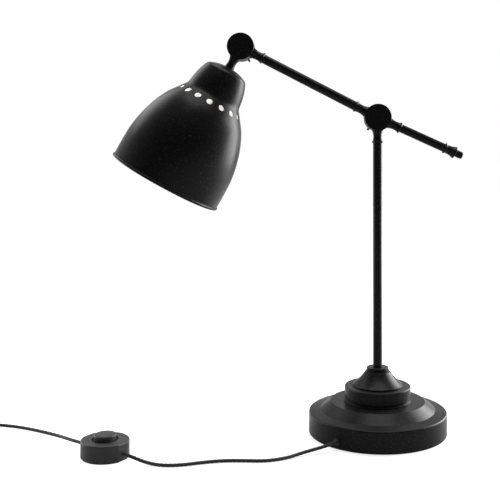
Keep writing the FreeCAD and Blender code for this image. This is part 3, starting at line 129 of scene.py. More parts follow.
def set_light():
    """The panels, a dim room, and a white backdrop for what is seen straight on or mirrored."""
    for panel in PANELS:
        hang_panel(*panel)
    world = bpy.data.worlds.new("studio")
    world.use_nodes = True
    nodes, links = world.node_tree.nodes, world.node_tree.links
    nodes.clear()
    out = nodes.new("ShaderNodeOutputWorld")
    blend = nodes.new("ShaderNodeMixShader")
    room = nodes.new("ShaderNodeBackground")
    room.inputs["Color"].default_value = (0.97, 0.98, 1.0, 1.0)
    room.inputs["Strength"].default_value = ROOM_GLOW
    backdrop = nodes.new("ShaderNodeBackground")
    backdrop.inputs["Color"].default_value = grey(1.0)
    camera, mirrored = seen_rays(nodes, links)
    links.new(reckon(nodes, links, "ADD", camera, mirrored), blend.inputs["Fac"])
    # Gloss shows the white backdrop behind the lamp, and the dim side of the room in front of it.
    heading = nodes.new("ShaderNodeSeparateXYZ")
    links.new(nodes.new("ShaderNodeTexCoord").outputs["Generated"], heading.inputs["Vector"])
    behind = ramped(nodes, links, heading.outputs["Y"], low=-0.8, high=0.5,
                    out_low=DIM_SIDE, out_high=BRIGHT_SIDE)
    links.new(reckon(nodes, links, "MAXIMUM", camera, behind), backdrop.inputs["Strength"])
    links.new(room.outputs["Background"], blend.inputs[1])
    links.new(backdrop.outputs["Background"], blend.inputs[2])
    links.new(blend.outputs["Shader"], out.inputs["Surface"])
    bpy.context.scene.world = world
    bpy.context.scene.view_settings.view_transform = "Standard"


FLOOR_REACH = 6.0
FLOOR_TONE = 0.55
# The table's own glow grows from near to far, so that the lamp's shadow stays and the distance is white.
FLOOR_GLOW = {"From Min": 0.12, "From Max": 0.75, "To Min": 0.64, "To Max": 1.0}
MIRRORED_FLOOR = 0.4


def lay_floor():
    """A white table top that runs out of sight and keeps the lamp's soft shadow."""
    shape = bmesh.new()
    bmesh.ops.create_grid(shape, x_segments=2, y_segments=2, size=FLOOR_REACH)
    mesh = bpy.data.meshes.new("table_top")
    shape.to_mesh(mesh)
    shape.free()
    floor = bpy.data.objects.new("table_top", mesh)
    bpy.context.scene.collection.objects.link(floor)
    material = bpy.data.materials.new("white_table")
    material.use_nodes = True
    nodes, links = material.node_tree.nodes, material.node_tree.links
    nodes.clear()
    out = nodes.new("ShaderNodeOutputMaterial")
    matt = nodes.new("ShaderNodeBsdfDiffuse")
    matt.inputs["Color"].default_value = grey(FLOOR_TONE)
    glow = nodes.new("ShaderNodeEmission")
    glow.inputs["Color"].default_value = grey(1.0)
    place = nodes.new("ShaderNodeTexCoord")
    away = nodes.new("ShaderNodeVectorMath")
    away.operation = "LENGTH"
    links.new(place.outputs["Object"], away.inputs[0])
    level = nodes.new("ShaderNodeMapRange")
    level.interpolation_type = "SMOOTHSTEP"
    for title, value in FLOOR_GLOW.items():
        level.inputs[title].default_value = value
    links.new(away.outputs["Value"], level.inputs["Value"])
    both = nodes.new("ShaderNodeAddShader")
    camera, mirrored = seen_rays(nodes, links)
    seen = reckon(nodes, links, "ADD", camera, reckon(nodes, links, "MULTIPLY", mirrored, MIRRORED_FLOOR))
    links.new(reckon(nodes, links, "MULTIPLY", seen, level.outputs["Result"]), glow.inputs["Strength"])
    links.new(matt.outputs["BSDF"], both.inputs[0])
    links.new(glow.outputs["Emission"], both.inputs[1])
    links.new(both.outputs["Shader"], out.inputs["Surface"])
    mesh.materials.append(material)


# ---------------------------------------------------------------------------------------------
# Finishes
# ---------------------------------------------------------------------------------------------

def new_group(name, inputs, outputs):
    """An empty shader group with named sockets: (name, kind, default) in and (name, kind) out."""
    group = bpy.data.node_groups.new(name, "ShaderNodeTree")
    for title, kind, start in inputs:
        socket = group.interface.new_socket(title, in_out="INPUT", socket_type=kind)
        if start is not None:
            socket.default_value = start
    for title, kind in outputs:
        group.interface.new_socket(title, in_out="OUTPUT", socket_type=kind)
    entry = group.nodes.new("NodeGroupInput")
    leave = group.nodes.new("NodeGroupOutput")
    return group, entry, leave


COLOUR, NUMBER, VECTOR = "NodeSocketColor", "NodeSocketFloat", "NodeSocketVector"


def noise(nodes, links, vector, scale, detail=2.0, rough=0.5):
    """Soft noise from 0 to 1; the scale may be a number or a socket."""
    node = nodes.new("ShaderNodeTexNoise")
    node.inputs["Detail"].default_value = detail
    node.inputs["Roughness"].default_value = rough
    links.new(vector, node.inputs["Vector"])
    if isinstance(scale, (int, float)):
        node.inputs["Scale"].default_value = scale
    else:
        links.new(scale, node.inputs["Scale"])
    return node.outputs["Fac"]


def ramped(nodes, links, value, low, high, out_low=0.0, out_high=1.0):
    """A value stretched from low..high to out_low..out_high, and held between them."""
    node = nodes.new("ShaderNodeMapRange")
    for title, end in (("From Min", low), ("From Max", high), ("To Min", out_low), ("To Max", out_high)):
        node.inputs[title].default_value = end
    links.new(value, node.inputs["Value"])
    return node.outputs["Result"]


def mixed(nodes, links, factor, first, second):
    """One colour blended into another; each may be a colour or a socket."""
    node = nodes.new("ShaderNodeMix")
    node.data_type = "RGBA"
    links.new(factor, node.inputs["Factor"])
    for place, colour in ((6, first), (7, second)):
        if isinstance(colour, tuple):
            node.inputs[place].default_value = colour
        else:
            links.new(colour, node.inputs[place])
    return node.outputs[2]


def reckon(nodes, links, operation, first, second):
    """The result of one sum; each side may be a number or a socket."""
    node = nodes.new("ShaderNodeMath")
    node.operation = operation
    for place, value in ((0, first), (1, second)):
        if isinstance(value, (int, float)):
            node.inputs[place].default_value = value
        else:
            links.new(value, node.inputs[place])
    return node.outputs["Value"]


PEEL_HEIGHT = 0.7
FLECK_HEIGHT = 0.3
DUST_ROUGHNESS = 0.5


def make_coat_grain():
    """Sprayed coat: cloudy tone, tiny light flecks and a fine orange-peel height."""
    group, entry, leave = new_group(
        "coat_grain",
        [("Vector", VECTOR, None), ("Colour", COLOUR, (0.01, 0.01, 0.01, 1)),
         ("Fleck Colour", COLOUR, (0.05, 0.05, 0.05, 1)), ("Fleck Size", NUMBER, 900.0),
         ("Fleck Share", NUMBER, 0.4), ("Roughness", NUMBER, 0.4), ("Roughness Spread", NUMBER, 0.08)],
        [("Colour", COLOUR), ("Roughness", NUMBER), ("Height", NUMBER)])
    nodes, links = group.nodes, group.links
    vector = entry.outputs["Vector"]
    cloud = noise(nodes, links, vector, scale=28.0, detail=3.0)
    fleck = noise(nodes, links, vector, scale=entry.outputs["Fleck Size"], detail=1.0)
    peel = noise(nodes, links, vector, scale=520.0)
    flecks = ramped(nodes, links, fleck, low=0.62, high=0.78)
    share = reckon(nodes, links, "MULTIPLY", flecks, entry.outputs["Fleck Share"])
    colour = mixed(nodes, links, share, entry.outputs["Colour"], entry.outputs["Fleck Colour"])
    swing = reckon(nodes, links, "SUBTRACT", reckon(nodes, links, "MULTIPLY", cloud, 2.0), 1.0)
    spread = reckon(nodes, links, "MULTIPLY", swing, entry.outputs["Roughness Spread"])
    rough = reckon(nodes, links, "ADD", entry.outputs["Roughness"], spread)
    height = reckon(nodes, links, "ADD", reckon(nodes, links, "MULTIPLY", peel, PEEL_HEIGHT),
                    reckon(nodes, links, "MULTIPLY", fleck, FLECK_HEIGHT))
    links.new(colour, leave.inputs["Colour"])
    links.new(rough, leave.inputs["Roughness"])
    links.new(height, leave.inputs["Height"])
    return group


def make_dust_and_painted_top_light():
    """A thin veil of dust on what faces up, and in soft patches; on up-facing faces it is also a painted
    lighter top that stands in for light from above.
    """
    group, entry, leave = new_group(
        "dust_and_painted_top_light",
        [("Vector", VECTOR, None), ("Colour", COLOUR, (0.01, 0.01, 0.01, 1)),
         ("Dust", COLOUR, (0.3, 0.29, 0.27, 1)), ("Amount", NUMBER, 0.1), ("Roughness", NUMBER, 0.4)],
        [("Colour", COLOUR), ("Roughness", NUMBER)])
    nodes, links = group.nodes, group.links
    normal = nodes.new("ShaderNodeNewGeometry")
    parts = nodes.new("ShaderNodeSeparateXYZ")
    links.new(normal.outputs["Normal"], parts.inputs["Vector"])
    # Up-facing faces get the veil: dust, and also a painted lighter top as if lit from above.
    up = ramped(nodes, links, parts.outputs["Z"], low=0.2, high=1.0)
    patch = noise(nodes, links, entry.outputs["Vector"], scale=60.0, detail=4.0, rough=0.6)
    speck = noise(nodes, links, entry.outputs["Vector"], scale=1400.0, detail=1.0)
    patches = ramped(nodes, links, patch, low=0.35, high=0.75, out_low=0.2, out_high=1.0)
    specks = ramped(nodes, links, speck, low=0.60, high=0.72, out_low=0.2, out_high=1.0)
    cover = entry.outputs["Amount"]
    for share in (up, patches, specks):
        cover = reckon(nodes, links, "MULTIPLY", cover, share)
    dull = reckon(nodes, links, "MULTIPLY", cover, DUST_ROUGHNESS)
    veiled = mixed(nodes, links, cover, entry.outputs["Colour"], entry.outputs["Dust"])
    links.new(veiled, leave.inputs["Colour"])
    links.new(reckon(nodes, links, "ADD", entry.outputs["Roughness"], dull), leave.inputs["Roughness"])
    return group


def make_edge_rub():
    """Slightly lighter paint where an edge or a turned corner has been handled."""
    group, entry, leave = new_group(
        "edge_rub",
        [("Vector", VECTOR, None), ("Colour", COLOUR, (0.01, 0.01, 0.01, 1)),
         ("Rubbed", COLOUR, (0.05, 0.05, 0.05, 1)), ("Reach", NUMBER, 0.0008), ("Amount", NUMBER, 0.6)],
        [("Colour", COLOUR)])
    nodes, links = group.nodes, group.links
    rounded = nodes.new("ShaderNodeBevel")
    rounded.samples = 4
    links.new(entry.outputs["Reach"], rounded.inputs["Radius"])
    normal = nodes.new("ShaderNodeNewGeometry")
    dot = nodes.new("ShaderNodeVectorMath")
    dot.operation = "DOT_PRODUCT"
    links.new(rounded.outputs["Normal"], dot.inputs[0])
    links.new(normal.outputs["Normal"], dot.inputs[1])
    edge = ramped(nodes, links, dot.outputs["Value"], low=0.995, high=0.85)
    patch = noise(nodes, links, entry.outputs["Vector"], scale=120.0, detail=3.0)
    patches = ramped(nodes, links, patch, low=0.3, high=0.65, out_low=0.35, out_high=1.0)
    mask = entry.outputs["Amount"]
    for share in (edge, patches):
        mask = reckon(nodes, links, "MULTIPLY", mask, share)
    worn = mixed(nodes, links, mask, entry.outputs["Colour"], entry.outputs["Rubbed"])
    links.new(worn, leave.inputs["Colour"])
    return group


def placed(nodes, links, group, vector, values):
    """A group's node with its sockets filled; each value may be plain or a socket."""
    node = nodes.new("ShaderNodeGroup")
    node.node_tree = group
    links.new(vector, node.inputs["Vector"])
    for title, value in values.items():
        if hasattr(value, "is_output"):
            links.new(value, node.inputs[title])
        else:
            node.inputs[title].default_value = value
    return node


def bumped(nodes, links, height, strength, distance, surface):
    bump = nodes.new("ShaderNodeBump")
    bump.inputs["Strength"].default_value = strength
    bump.inputs["Distance"].default_value = distance
    links.new(height, bump.inputs["Height"])
    links.new(bump.outputs["Normal"], surface.inputs["Normal"])


def new_finish(name):
    """An empty material with its node tree, its surface shader and the object's own coordinates."""
    material = bpy.data.materials.new(name)
    material.use_nodes = True
    nodes, links = material.node_tree.nodes, material.node_tree.links
    nodes.clear()
    out = nodes.new("ShaderNodeOutputMaterial")
    surface = nodes.new("ShaderNodeBsdfPrincipled")
    links.new(surface.outputs["BSDF"], out.inputs["Surface"])
    place = nodes.new("ShaderNodeTexCoord").outputs["Object"]
    return material, nodes, links, surface, place


def grey(value):
    return (value, value, value, 1.0)


def coated(name, colour, fleck, share, rough, peel, dust_and_top_light, rubbed, fleck_size=900.0, specular=0.5):
    """A coated or moulded finish: grain, a little dust that also paints up-facing faces lighter as a painted
    top light, and rubbed edges over one colour.
    """
    material, nodes, links, surface, place = new_finish(name)
    grain = placed(nodes, links, GROUPS["coat_grain"], place, {
        "Colour": colour, "Fleck Colour": fleck, "Fleck Size": fleck_size, "Fleck Share": share,
        "Roughness": rough, "Roughness Spread": 0.10})
    edge = placed(nodes, links, GROUPS["edge_rub"], place, {
        "Colour": grain.outputs["Colour"], "Rubbed": rubbed, "Reach": 0.0007, "Amount": 0.5})
    # Dust on up-facing faces, which also paints those faces lighter as a painted top light.
    veil = placed(nodes, links, GROUPS["dust_and_painted_top_light"], place, {
        "Colour": edge.outputs["Colour"], "Amount": dust_and_top_light, "Roughness": grain.outputs["Roughness"]})
    links.new(veil.outputs["Colour"], surface.inputs["Base Color"])
    links.new(veil.outputs["Roughness"], surface.inputs["Roughness"])
    surface.inputs["Specular IOR Level"].default_value = specular
    bumped(nodes, links, grain.outputs["Height"], strength=peel, distance=0.0004, surface=surface)
    return material


def turned_metal(name, colour, rough):
    """Bare metal with a fine grain and darker flecks."""
    material, nodes, links, surface, place = new_finish(name)
    darker = tuple(channel * 0.6 for channel in colour[:3]) + (1.0,)
    grain = placed(nodes, links, GROUPS["coat_grain"], place, {
        "Colour": colour, "Fleck Colour": darker, "Fleck Size": 300.0,
        "Fleck Share": 0.5, "Roughness": rough, "Roughness Spread": 0.2})
    links.new(grain.outputs["Colour"], surface.inputs["Base Color"])
    links.new(grain.outputs["Roughness"], surface.inputs["Roughness"])
    surface.inputs["Metallic"].default_value = 1.0
    bumped(nodes, links, grain.outputs["Height"], strength=0.15, distance=0.0002, surface=surface)
    return material


def braided_cord(name):
    """Textile cord: fine diagonal yarns over the twist that the mesh has, from the tube's own UV map; the
    yarns' crests are painted lighter, a painted sheen.
    """
    material, nodes, links, surface, place = new_finish(name)
    strip = nodes.new("ShaderNodeUVMap")
    strip.uv_map = "along"
    yarns = nodes.new("ShaderNodeTexWave")
    yarns.wave_type = "BANDS"
    yarns.bands_direction = "DIAGONAL"
    yarns.inputs["Scale"].default_value = 5.0
    yarns.inputs["Distortion"].default_value = 0.6
    links.new(strip.outputs["UV"], yarns.inputs["Vector"])
    grain = placed(nodes, links, GROUPS["coat_grain"], place, {
        "Colour": grey(0.006), "Fleck Colour": grey(0.05), "Fleck Size": 1600.0, "Fleck Share": 0.55,
        "Roughness": 0.72, "Roughness Spread": 0.1})
    # Painted sheen: each yarn's crest is painted a lighter grey over the cord's black, partly yarn pattern and
    # partly painted highlight.
    painted_yarn_sheen = ramped(nodes, links, yarns.outputs["Fac"], low=0.2, high=0.9, out_high=0.35)
    links.new(mixed(nodes, links, painted_yarn_sheen, grain.outputs["Colour"], grey(0.020)), surface.inputs["Base Color"])
    links.new(grain.outputs["Roughness"], surface.inputs["Roughness"])
    height = reckon(nodes, links, "ADD", yarns.outputs["Fac"], grain.outputs["Height"])
    bumped(nodes, links, height, strength=0.5, distance=0.0003, surface=surface)
    surface.inputs["Sheen Weight"].default_value = 0.05
    return material


def rough_cast(name):
    """Raw cast iron, dull and grained."""
    material, nodes, links, surface, place = new_finish(name)
    grain = placed(nodes, links, GROUPS["coat_grain"], place, {
        "Colour": grey(0.08), "Fleck Colour": (0.16, 0.13, 0.11, 1.0), "Fleck Size": 420.0,
        "Fleck Share": 0.8, "Roughness": 0.75, "Roughness Spread": 0.2})
    links.new(grain.outputs["Colour"], surface.inputs["Base Color"])
    links.new(grain.outputs["Roughness"], surface.inputs["Roughness"])
    surface.inputs["Metallic"].default_value = 0.6
    bumped(nodes, links, grain.outputs["Height"], strength=0.8, distance=0.0008, surface=surface)
    return material


GROUPS = {"coat_grain": make_coat_grain(), "dust_and_painted_top_light": make_dust_and_painted_top_light(), "edge_rub": make_edge_rub()}
# Coats: share is how much the flecks show, peel how strong the orange-peel height is; the dust amount is real
# dust and also a painted lighter top on up-facing faces.
COATS = {
    "black_paint": dict(colour=grey(0.0036), fleck=grey(0.07), share=0.44, rough=0.33, peel=0.12, dust_and_top_light=0.06,
                        rubbed=grey(0.008), fleck_size=620.0, specular=0.10),
    "white_enamel": dict(colour=(0.82, 0.815, 0.80, 1), fleck=(0.74, 0.735, 0.72, 1), share=0.3, rough=0.42,
                         peel=0.10, dust_and_top_light=0.02, rubbed=(0.83, 0.82, 0.80, 1)),
    "black_plastic": dict(colour=grey(0.007), fleck=grey(0.03), share=0.5, rough=0.5, peel=0.25, dust_and_top_light=0.04,
                          rubbed=grey(0.02), fleck_size=1500.0, specular=0.3),
    "white_plastic": dict(colour=(0.82, 0.82, 0.81, 1), fleck=(0.74, 0.74, 0.73, 1), share=0.3, rough=0.35,
                          peel=0.08, dust_and_top_light=0.02, rubbed=(0.8, 0.8, 0.78, 1)),
    "switch_grey": dict(colour=grey(0.020), fleck=grey(0.05), share=0.45, rough=0.46, peel=0.3, dust_and_top_light=0.04,
                        rubbed=grey(0.05), fleck_size=1500.0, specular=0.3),
    "white_ceramic": dict(colour=(0.78, 0.76, 0.72, 1), fleck=(0.7, 0.68, 0.64, 1), share=0.3, rough=0.28,
                          peel=0.05, dust_and_top_light=0.02, rubbed=(0.8, 0.79, 0.76, 1)),
    "felt_pad": dict(colour=grey(0.02), fleck=grey(0.06), share=0.9, rough=0.95, peel=0.9, dust_and_top_light=0.0,
                     rubbed=grey(0.03), fleck_size=1100.0),
}
FINISH = {name: coated(name, **coat) for name, coat in COATS.items()}
FINISH["zinc_steel"] = turned_metal("zinc_steel", (0.62, 0.62, 0.60, 1), 0.3)
FINISH["brass"] = turned_metal("brass", (0.72, 0.52, 0.25, 1), 0.25)
FINISH["cast_iron"] = rough_cast("cast_iron")
FINISH["cord_black"] = braided_cord("cord_black")


# ---------------------------------------------------------------------------------------------
# Pieces
# ---------------------------------------------------------------------------------------------

MERGE = 1e-6


def into_scene(name, shape, body, finishes, nodes):
    """Turn a finished bmesh into a piece that rides on a body and stands for the nodes named."""
    mesh = bpy.data.meshes.new(name)
    shape.to_mesh(mesh)
    shape.free()
    for finish in finishes:
        mesh.materials.append(FINISH[finish])
    piece = bpy.data.objects.new(name, mesh)
    bpy.context.scene.collection.objects.link(piece)
    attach(piece, body)
    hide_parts(*nodes)
    return piece


def soften(shape, angle=34.0):
    """Smooth shading, with the edges sharper than the angle kept sharp."""
    limit = math.radians(angle)
    for face in shape.faces:
        face.smooth = True
    for edge in shape.edges:
        if len(edge.link_faces) == 2:
            edge.smooth = edge.calc_face_angle(0.0) < limit


def body_of_node(node):
    for body, members in frame["record"]["behaviour"]["bodies"].items():
        if node in members:
            return body


def stand_in(node, shape, finish):
    """The piece that stands for one node, with soft shading."""
    soften(shape)
    piece = into_scene("fine_" + node, shape, body_of_node(node), [finish], [node])
    # Large faces lead the shading, so that flat faces stay flat beside rounded edges.
    weighted = piece.modifiers.new("weighted", "WEIGHTED_NORMAL")
    weighted.keep_sharp = True


# The switch's wall is moved by CASE_SWELL from CASE_WALL outwards, and not at all inside CASE_KEPT.
SWITCH_CASE = ("switch_base", "switch_cover")
CASE_CENTRE = Vector((-0.3346, -0.0930, 0.0))
CASE_KEPT = 0.0215
CASE_WALL = 0.0250
CASE_SWELL = 0.0017


def let_out(shape):
    """Let the switch's wall out a little all round, with what lies further in kept in place."""
    for vert in shape.verts:
        reach = Vector((vert.co.x, vert.co.y, 0.0)) - CASE_CENTRE
        share = min(1.0, max(0.0, (reach.length - CASE_KEPT) / (CASE_WALL - CASE_KEPT)))
        if share:
            vert.co += reach.normalized() * (CASE_SWELL * share)


def smooth_piece(node, finish):
    """A piece in the node's own shape, with its loose triangles joined."""
    shape = bmesh.new()
    shape.from_mesh(frame["nodes"][node].data)
    bmesh.ops.remove_doubles(shape, verts=shape.verts, dist=MERGE)
    if node in SWITCH_CASE:
        let_out(shape)
    stand_in(node, shape, finish)


# An arc has a corner for every ARC_TURN or ARC_RUN (mm) of it; corners over CRISP get a bevel.
ARC_TURN = math.radians(6)
ARC_RUN = 4.0
CRISP = math.radians(25)


def bowed(start, end, radius):
    """Points of the short arc from start to end; a positive radius turns left, a negative one right."""
    chord = end - start
    side = math.copysign(1.0, radius)
    height = math.sqrt(max(radius * radius - chord.length_squared / 4, 0.0))
    centre = (start + end) / 2 + Vector((-chord.y, chord.x)).normalized() * (height * side)
    sweep = 2 * math.asin(min(1.0, chord.length / 2 / abs(radius))) * side
    first = math.atan2(start.y - centre.y, start.x - centre.x)
    count = max(3, math.ceil(abs(sweep) / ARC_TURN), math.ceil(chord.length / ARC_RUN))
    turns = [first + sweep * step / count for step in range(1, count + 1)]
    return [centre + Vector((math.cos(turn), math.sin(turn))) * abs(radius) for turn in turns]


def spun(corners, steps, edge=0.3):
    """A turned piece from corners (radius, height) in millimetres; a third entry bows the run to it.

    The edge is the width of the bevel on sharp corners, in millimetres."""
    line = []
    for index, corner in enumerate(corners):
        here = Vector(corner[:2])
        if len(corner) > 2:
            line += bowed(Vector(corners[index - 1][:2]), here, corner[2])
        else:
            line.append(here)
    shape = bmesh.new()
    verts = [shape.verts.new((point.x / 1000, 0.0, point.y / 1000)) for point in line]
    edges = [shape.edges.new(pair) for pair in zip(verts, verts[1:] + verts[:1])]
    bmesh.ops.spin(shape, geom=verts + edges, cent=(0, 0, 0), axis=(0, 0, 1), angle=math.tau, steps=steps,
                   use_merge=True, use_duplicate=False)
    bmesh.ops.remove_doubles(shape, verts=shape.verts, dist=MERGE)
    bmesh.ops.recalc_face_normals(shape, faces=shape.faces)
    if edge:
        crisp = [border for border in shape.edges if border.calc_face_angle(0.0) > CRISP]
        bmesh.ops.bevel(shape, geom=crisp, offset=edge / 1000, offset_type="OFFSET", affect="EDGES",
                        segments=3, profile=0.5, clamp_overlap=True, material=-1)
    return shape


def pierced(shape, tool):
    """Cut one closed shape out of another."""
    holders = []
    for name, part in (("pierced", shape), ("tool", tool)):
        mesh = bpy.data.meshes.new(name)
        part.to_mesh(mesh)
        part.free()
        holder = bpy.data.objects.new(name, mesh)
        bpy.context.scene.collection.objects.link(holder)
        holders.append(holder)
    body, cutter = holders
    cutting = body.modifiers.new("cutting", "BOOLEAN")
    cutting.operation = "DIFFERENCE"
    cutting.solver = "EXACT"
    cutting.object = cutter
    result = bmesh.new()
    result.from_object(body, bpy.context.evaluated_depsgraph_get())
    for holder in holders:
        mesh = holder.data
        bpy.data.objects.remove(holder)
        bpy.data.meshes.remove(mesh)
    return result


# The shade's section as spun() takes it: down the outside to the rolled rim, then back up the inside.
SHADE_PROFILE = [
    (5.2, 32.0), (12.0, 32.0), (24.6, 36.2, 45.0), (30.0, 42.0, 9.0), (35.6, 60.0, 80.0),
    (37.1, 70.0, 200.0), (39.9, 76.5, -12.0),
    (45.5, 84.0, 200.0), (50.6, 90.8, 400.0), (56.6, 100.0, 75.0), (68.6, 130.0, 150.0),
    (74.9, 165.0, 170.0), (75.2, 199.8, 500.0), (75.2, 203.8, 2.08),
    (73.8, 203.8), (74.2, 199.8), (73.9, 165.0, -499.0), (67.6, 130.0, -169.0), (55.6, 100.5, -149.0),
    (49.4, 90.8, -74.0), (44.5, 84.5, -399.0), (38.9, 77.1, -199.0),
    (36.1, 70.3, 13.0), (34.6, 60.2, -199.0), (29.1, 42.6, -79.0), (24.1, 37.1, -8.0), (12.0, 33.0, -44.0),
    (5.2, 33.0),
]
VENTS = 16
VENT_PHASE = math.radians(-7.0)
VENT_RADIUS = 0.0042
VENT_DEPTH = 0.012
VENT_PLACE = Vector((0.0445, 0.0, 0.0826))
VENT_LEAN = math.radians(125)
RIM_EDGE = 0.2025


def vent_turn(number):
    """The turn that brings the first vent round to the place of another."""
    return Matrix.Rotation(VENT_PHASE + math.tau * number / VENTS, 4, "Z")


def vent_tools():
    """Round cutters that stand square to the shade's shoulder."""
    shape = bmesh.new()
    for number in range(VENTS):
        place = Matrix.Translation(VENT_PLACE) @ Matrix.Rotation(VENT_LEAN, 4, "Y")
        bmesh.ops.create_cone(shape, cap_ends=True, segments=32, depth=VENT_DEPTH,
                              matrix=vent_turn(number) @ place, radius1=VENT_RADIUS, radius2=VENT_RADIUS)
    return shape


def in_vent(centre, normal):
    """Whether a face is on the wall of a vent."""
    if abs(centre.z - VENT_PLACE.z) > VENT_DEPTH:
        return False
    for number in range(VENTS):
        turn = vent_turn(number).to_3x3()
        axis = turn @ Vector((math.sin(VENT_LEAN), 0.0, math.cos(VENT_LEAN)))
        reach = centre - turn @ VENT_PLACE
        off_wall = abs((reach - axis * reach.dot(axis)).length - VENT_RADIUS)
        if off_wall < 0.0003 and abs(normal.dot(axis)) < 0.4:
            return True
    return False


def bell_shade():
    """The spun shade with its ring of vents: black outside, white inside, and the two meet on the rim."""
    shape = pierced(spun(SHADE_PROFILE, steps=160, edge=0.0), vent_tools())
    for face in shape.faces:
        centre = face.calc_center_median()
        outwards = Vector((centre.x, centre.y, 0.0)).normalized()
        looks_in = face.normal.dot(outwards) < -0.05 or face.normal.z > 0.6
        white = looks_in and centre.z < RIM_EDGE and not in_vent(centre, face.normal)
        face.material_index = 1 if white else 0
    shape.transform(ON_SHADE)
    soften(shape, 30.0)
    into_scene("fine_shade", shape, "head", ["black_paint", "white_enamel"],
               ["shade", "shade_crown"])


# Turned pieces: how the axis is placed (None is the pole's own axis), and the corners as spun() takes them.
TURNED = {
    "base_shell": (None, [
        (90.0, 0.8), (90.0, 26.1), (87.8, 28.3, 2.2), (75.0, 30.4), (61.5, 40.8), (5.2, 40.8), (5.2, 39.3),
        (60.75, 39.3), (74.25, 28.9), (88.5, 26.8), (88.5, 0.8)]),
    "upper_tier": (None, [
        (40.9, 40.8), (44.2, 40.8), (44.2, 42.4), (42.4, 42.8), (42.4, 43.6), (43.2, 44.2), (43.2, 58.7),
        (41.6, 60.3, 1.6), (5.2, 60.3), (5.2, 58.8), (40.9, 58.8)]),
    "base_cone": (None, [
        (29.6, 60.3), (32.8, 60.3), (32.8, 61.9), (31.8, 62.5), (16.2, 78.8, -60.0), (5.2, 78.8), (5.2, 76.8),
        (14.0, 76.8), (29.6, 61.5)]),
    "stem_collar": (None, [
        (5.2, 78.8), (15.4, 78.8), (15.4, 80.2), (13.0, 80.8), (13.0, 81.6), (14.4, 82.2), (14.4, 83.5),
        (13.5, 84.4, 0.9), (6.05, 84.4), (6.05, 80.4), (5.2, 80.4)]),
    "rod_finial": (ON_ROD, [
        (0.0, 87.5), (2.5, 87.5), (2.5, 96.0), (6.7, 96.0), (7.1, 96.6), (6.8, 97.8), (5.7, 99.2), (5.9, 102.5),
        (8.0, 110.5, -19.5), (7.6, 111.9, 1.6), (4.7, 112.4), (4.6, 114.4), (5.0, 115.0), (4.7, 120.1),
        (2.4, 122.5, 2.4), (0.0, 122.5)]),
}


WIDE_PIECE = 30.0
CORD_HOLE_RADIUS = 0.00345
CORD_HOLE_DEPTH = 0.012


def cord_hole():
    """The cutter for the cord's hole in the base's wall."""
    shape = bmesh.new()
    place = Matrix.Translation(around(CORD_EXIT_TURN, radius=0.089, height=0.010))
    level = Matrix.Rotation(CORD_EXIT_TURN, 4, "Z") @ Matrix.Rotation(math.radians(90), 4, "Y")
    bmesh.ops.create_cone(shape, cap_ends=True, segments=32, depth=CORD_HOLE_DEPTH, matrix=place @ level,
                          radius1=CORD_HOLE_RADIUS, radius2=CORD_HOLE_RADIUS)
    return shape


def turned_piece(node, finish):
    """A turned piece of the base or rod, with its corners softly broken."""
    place, corners = TURNED[node]
    shape = spun(corners, steps=160 if corners[1][0] > WIDE_PIECE else 96)
    if node == "base_shell":
        shape = pierced(shape, cord_hole())
    if place:
        shape.transform(place)
    stand_in(node, shape, finish)


NODE_FINISH = {
    "white_ceramic": ["holder_insert"],
    "black_paint": ["base_shell", "upper_tier", "base_cone", "stem_collar", "pole", "front_arm", "rear_rod",
                    "rod_finial", "elbow_front_half", "elbow_rear_half", "head_front_half", "head_rear_half",
                    "elbow_knob", "head_knob", "elbow_stud", "head_stud", "elbow_spring_washer",
                    "head_spring_washer"],
    "black_plastic": ["cord_bush", "plug_body", "elbow_friction_washer", "head_friction_washer"],
    "white_plastic": ["holder_cap", "holder_body"],
    "switch_grey": ["switch_base", "switch_cover", "switch_button"],
    "felt_pad": ["base_pad"],
    "cast_iron": ["base_weight"],
    "zinc_steel": ["base_stem", "stem_washer", "stem_nut", "shade_washer", "shade_nut", "cord_clamp",
                   "clamp_screws", "switch_spring", "switch_screws", "terminal_screws"],
    "brass": ["screw_shell", "centre_contact", "switch_terminals", "plug_pins"],
    "cord_black": ["base_lead", "arm_lead", "head_lead"],
}


# ---------------------------------------------------------------------------------------------
# Cord
# ---------------------------------------------------------------------------------------------

BASE_EXIT = (-0.05690, -0.07076, 0.0100)
SWITCH_NEAR = (-0.31094, -0.10722, 0.0090)
SWITCH_FAR = (-0.35826, -0.07878, 0.0090)
TO_SWITCH = [
    BASE_EXIT,
    (-0.0624, -0.0776, 0.0100),
    (-0.0715, -0.0835, 0.0086),
    (-0.0840, -0.0862, 0.0060),
    (-0.0990, -0.0920, 0.0037),
    (-0.1170, -0.1045, 0.0022),
    (-0.1410, -0.1140, 0.0022),
    (-0.1660, -0.1126, 0.0022),
    (-0.1910, -0.1124, 0.0022),
    (-0.2155, -0.1184, 0.0022),
    (-0.2410, -0.1276, 0.0022),
    (-0.2640, -0.1274, 0.0022),
    (-0.2820, -0.1196, 0.0031),
    (-0.2965, -0.1144, 0.0068),
    SWITCH_NEAR,
]
TO_COIL = [
    SWITCH_FAR,
    (-0.3770, -0.0654, 0.0086),
    (-0.3910, -0.0502, 0.0064),
    (-0.4080, -0.0308, 0.0034),
    (-0.4280, -0.0150, 0.0022),
    (-0.4520, -0.0015, 0.0022),
    (-0.4780, 0.0105, 0.0022),
    (-0.5020, 0.0170, 0.0022),
]
LYING = 0.0022  # height of the cord's middle where it lies on the desk
COIL_LAYERS = 4
TURNS_A_LAYER = 2.51
COIL_TURNS = TURNS_A_LAYER * COIL_LAYERS
CLIMB = 0.5  # turns that the cord takes to climb to the next layer
COIL_OUTER = 0.030
COIL_PITCH = 0.0048
COIL_RISE = 0.0047
COIL_START = Vector((-0.5370, 0.0210, 0.0))
COIL_START_ANGLE = math.radians(85.0)
POINTS_A_TURN = 16
PLUG_ROOT = Vector((-0.6522, -0.0028, 0.00685))
PLUG_HEADING = math.radians(196.0)


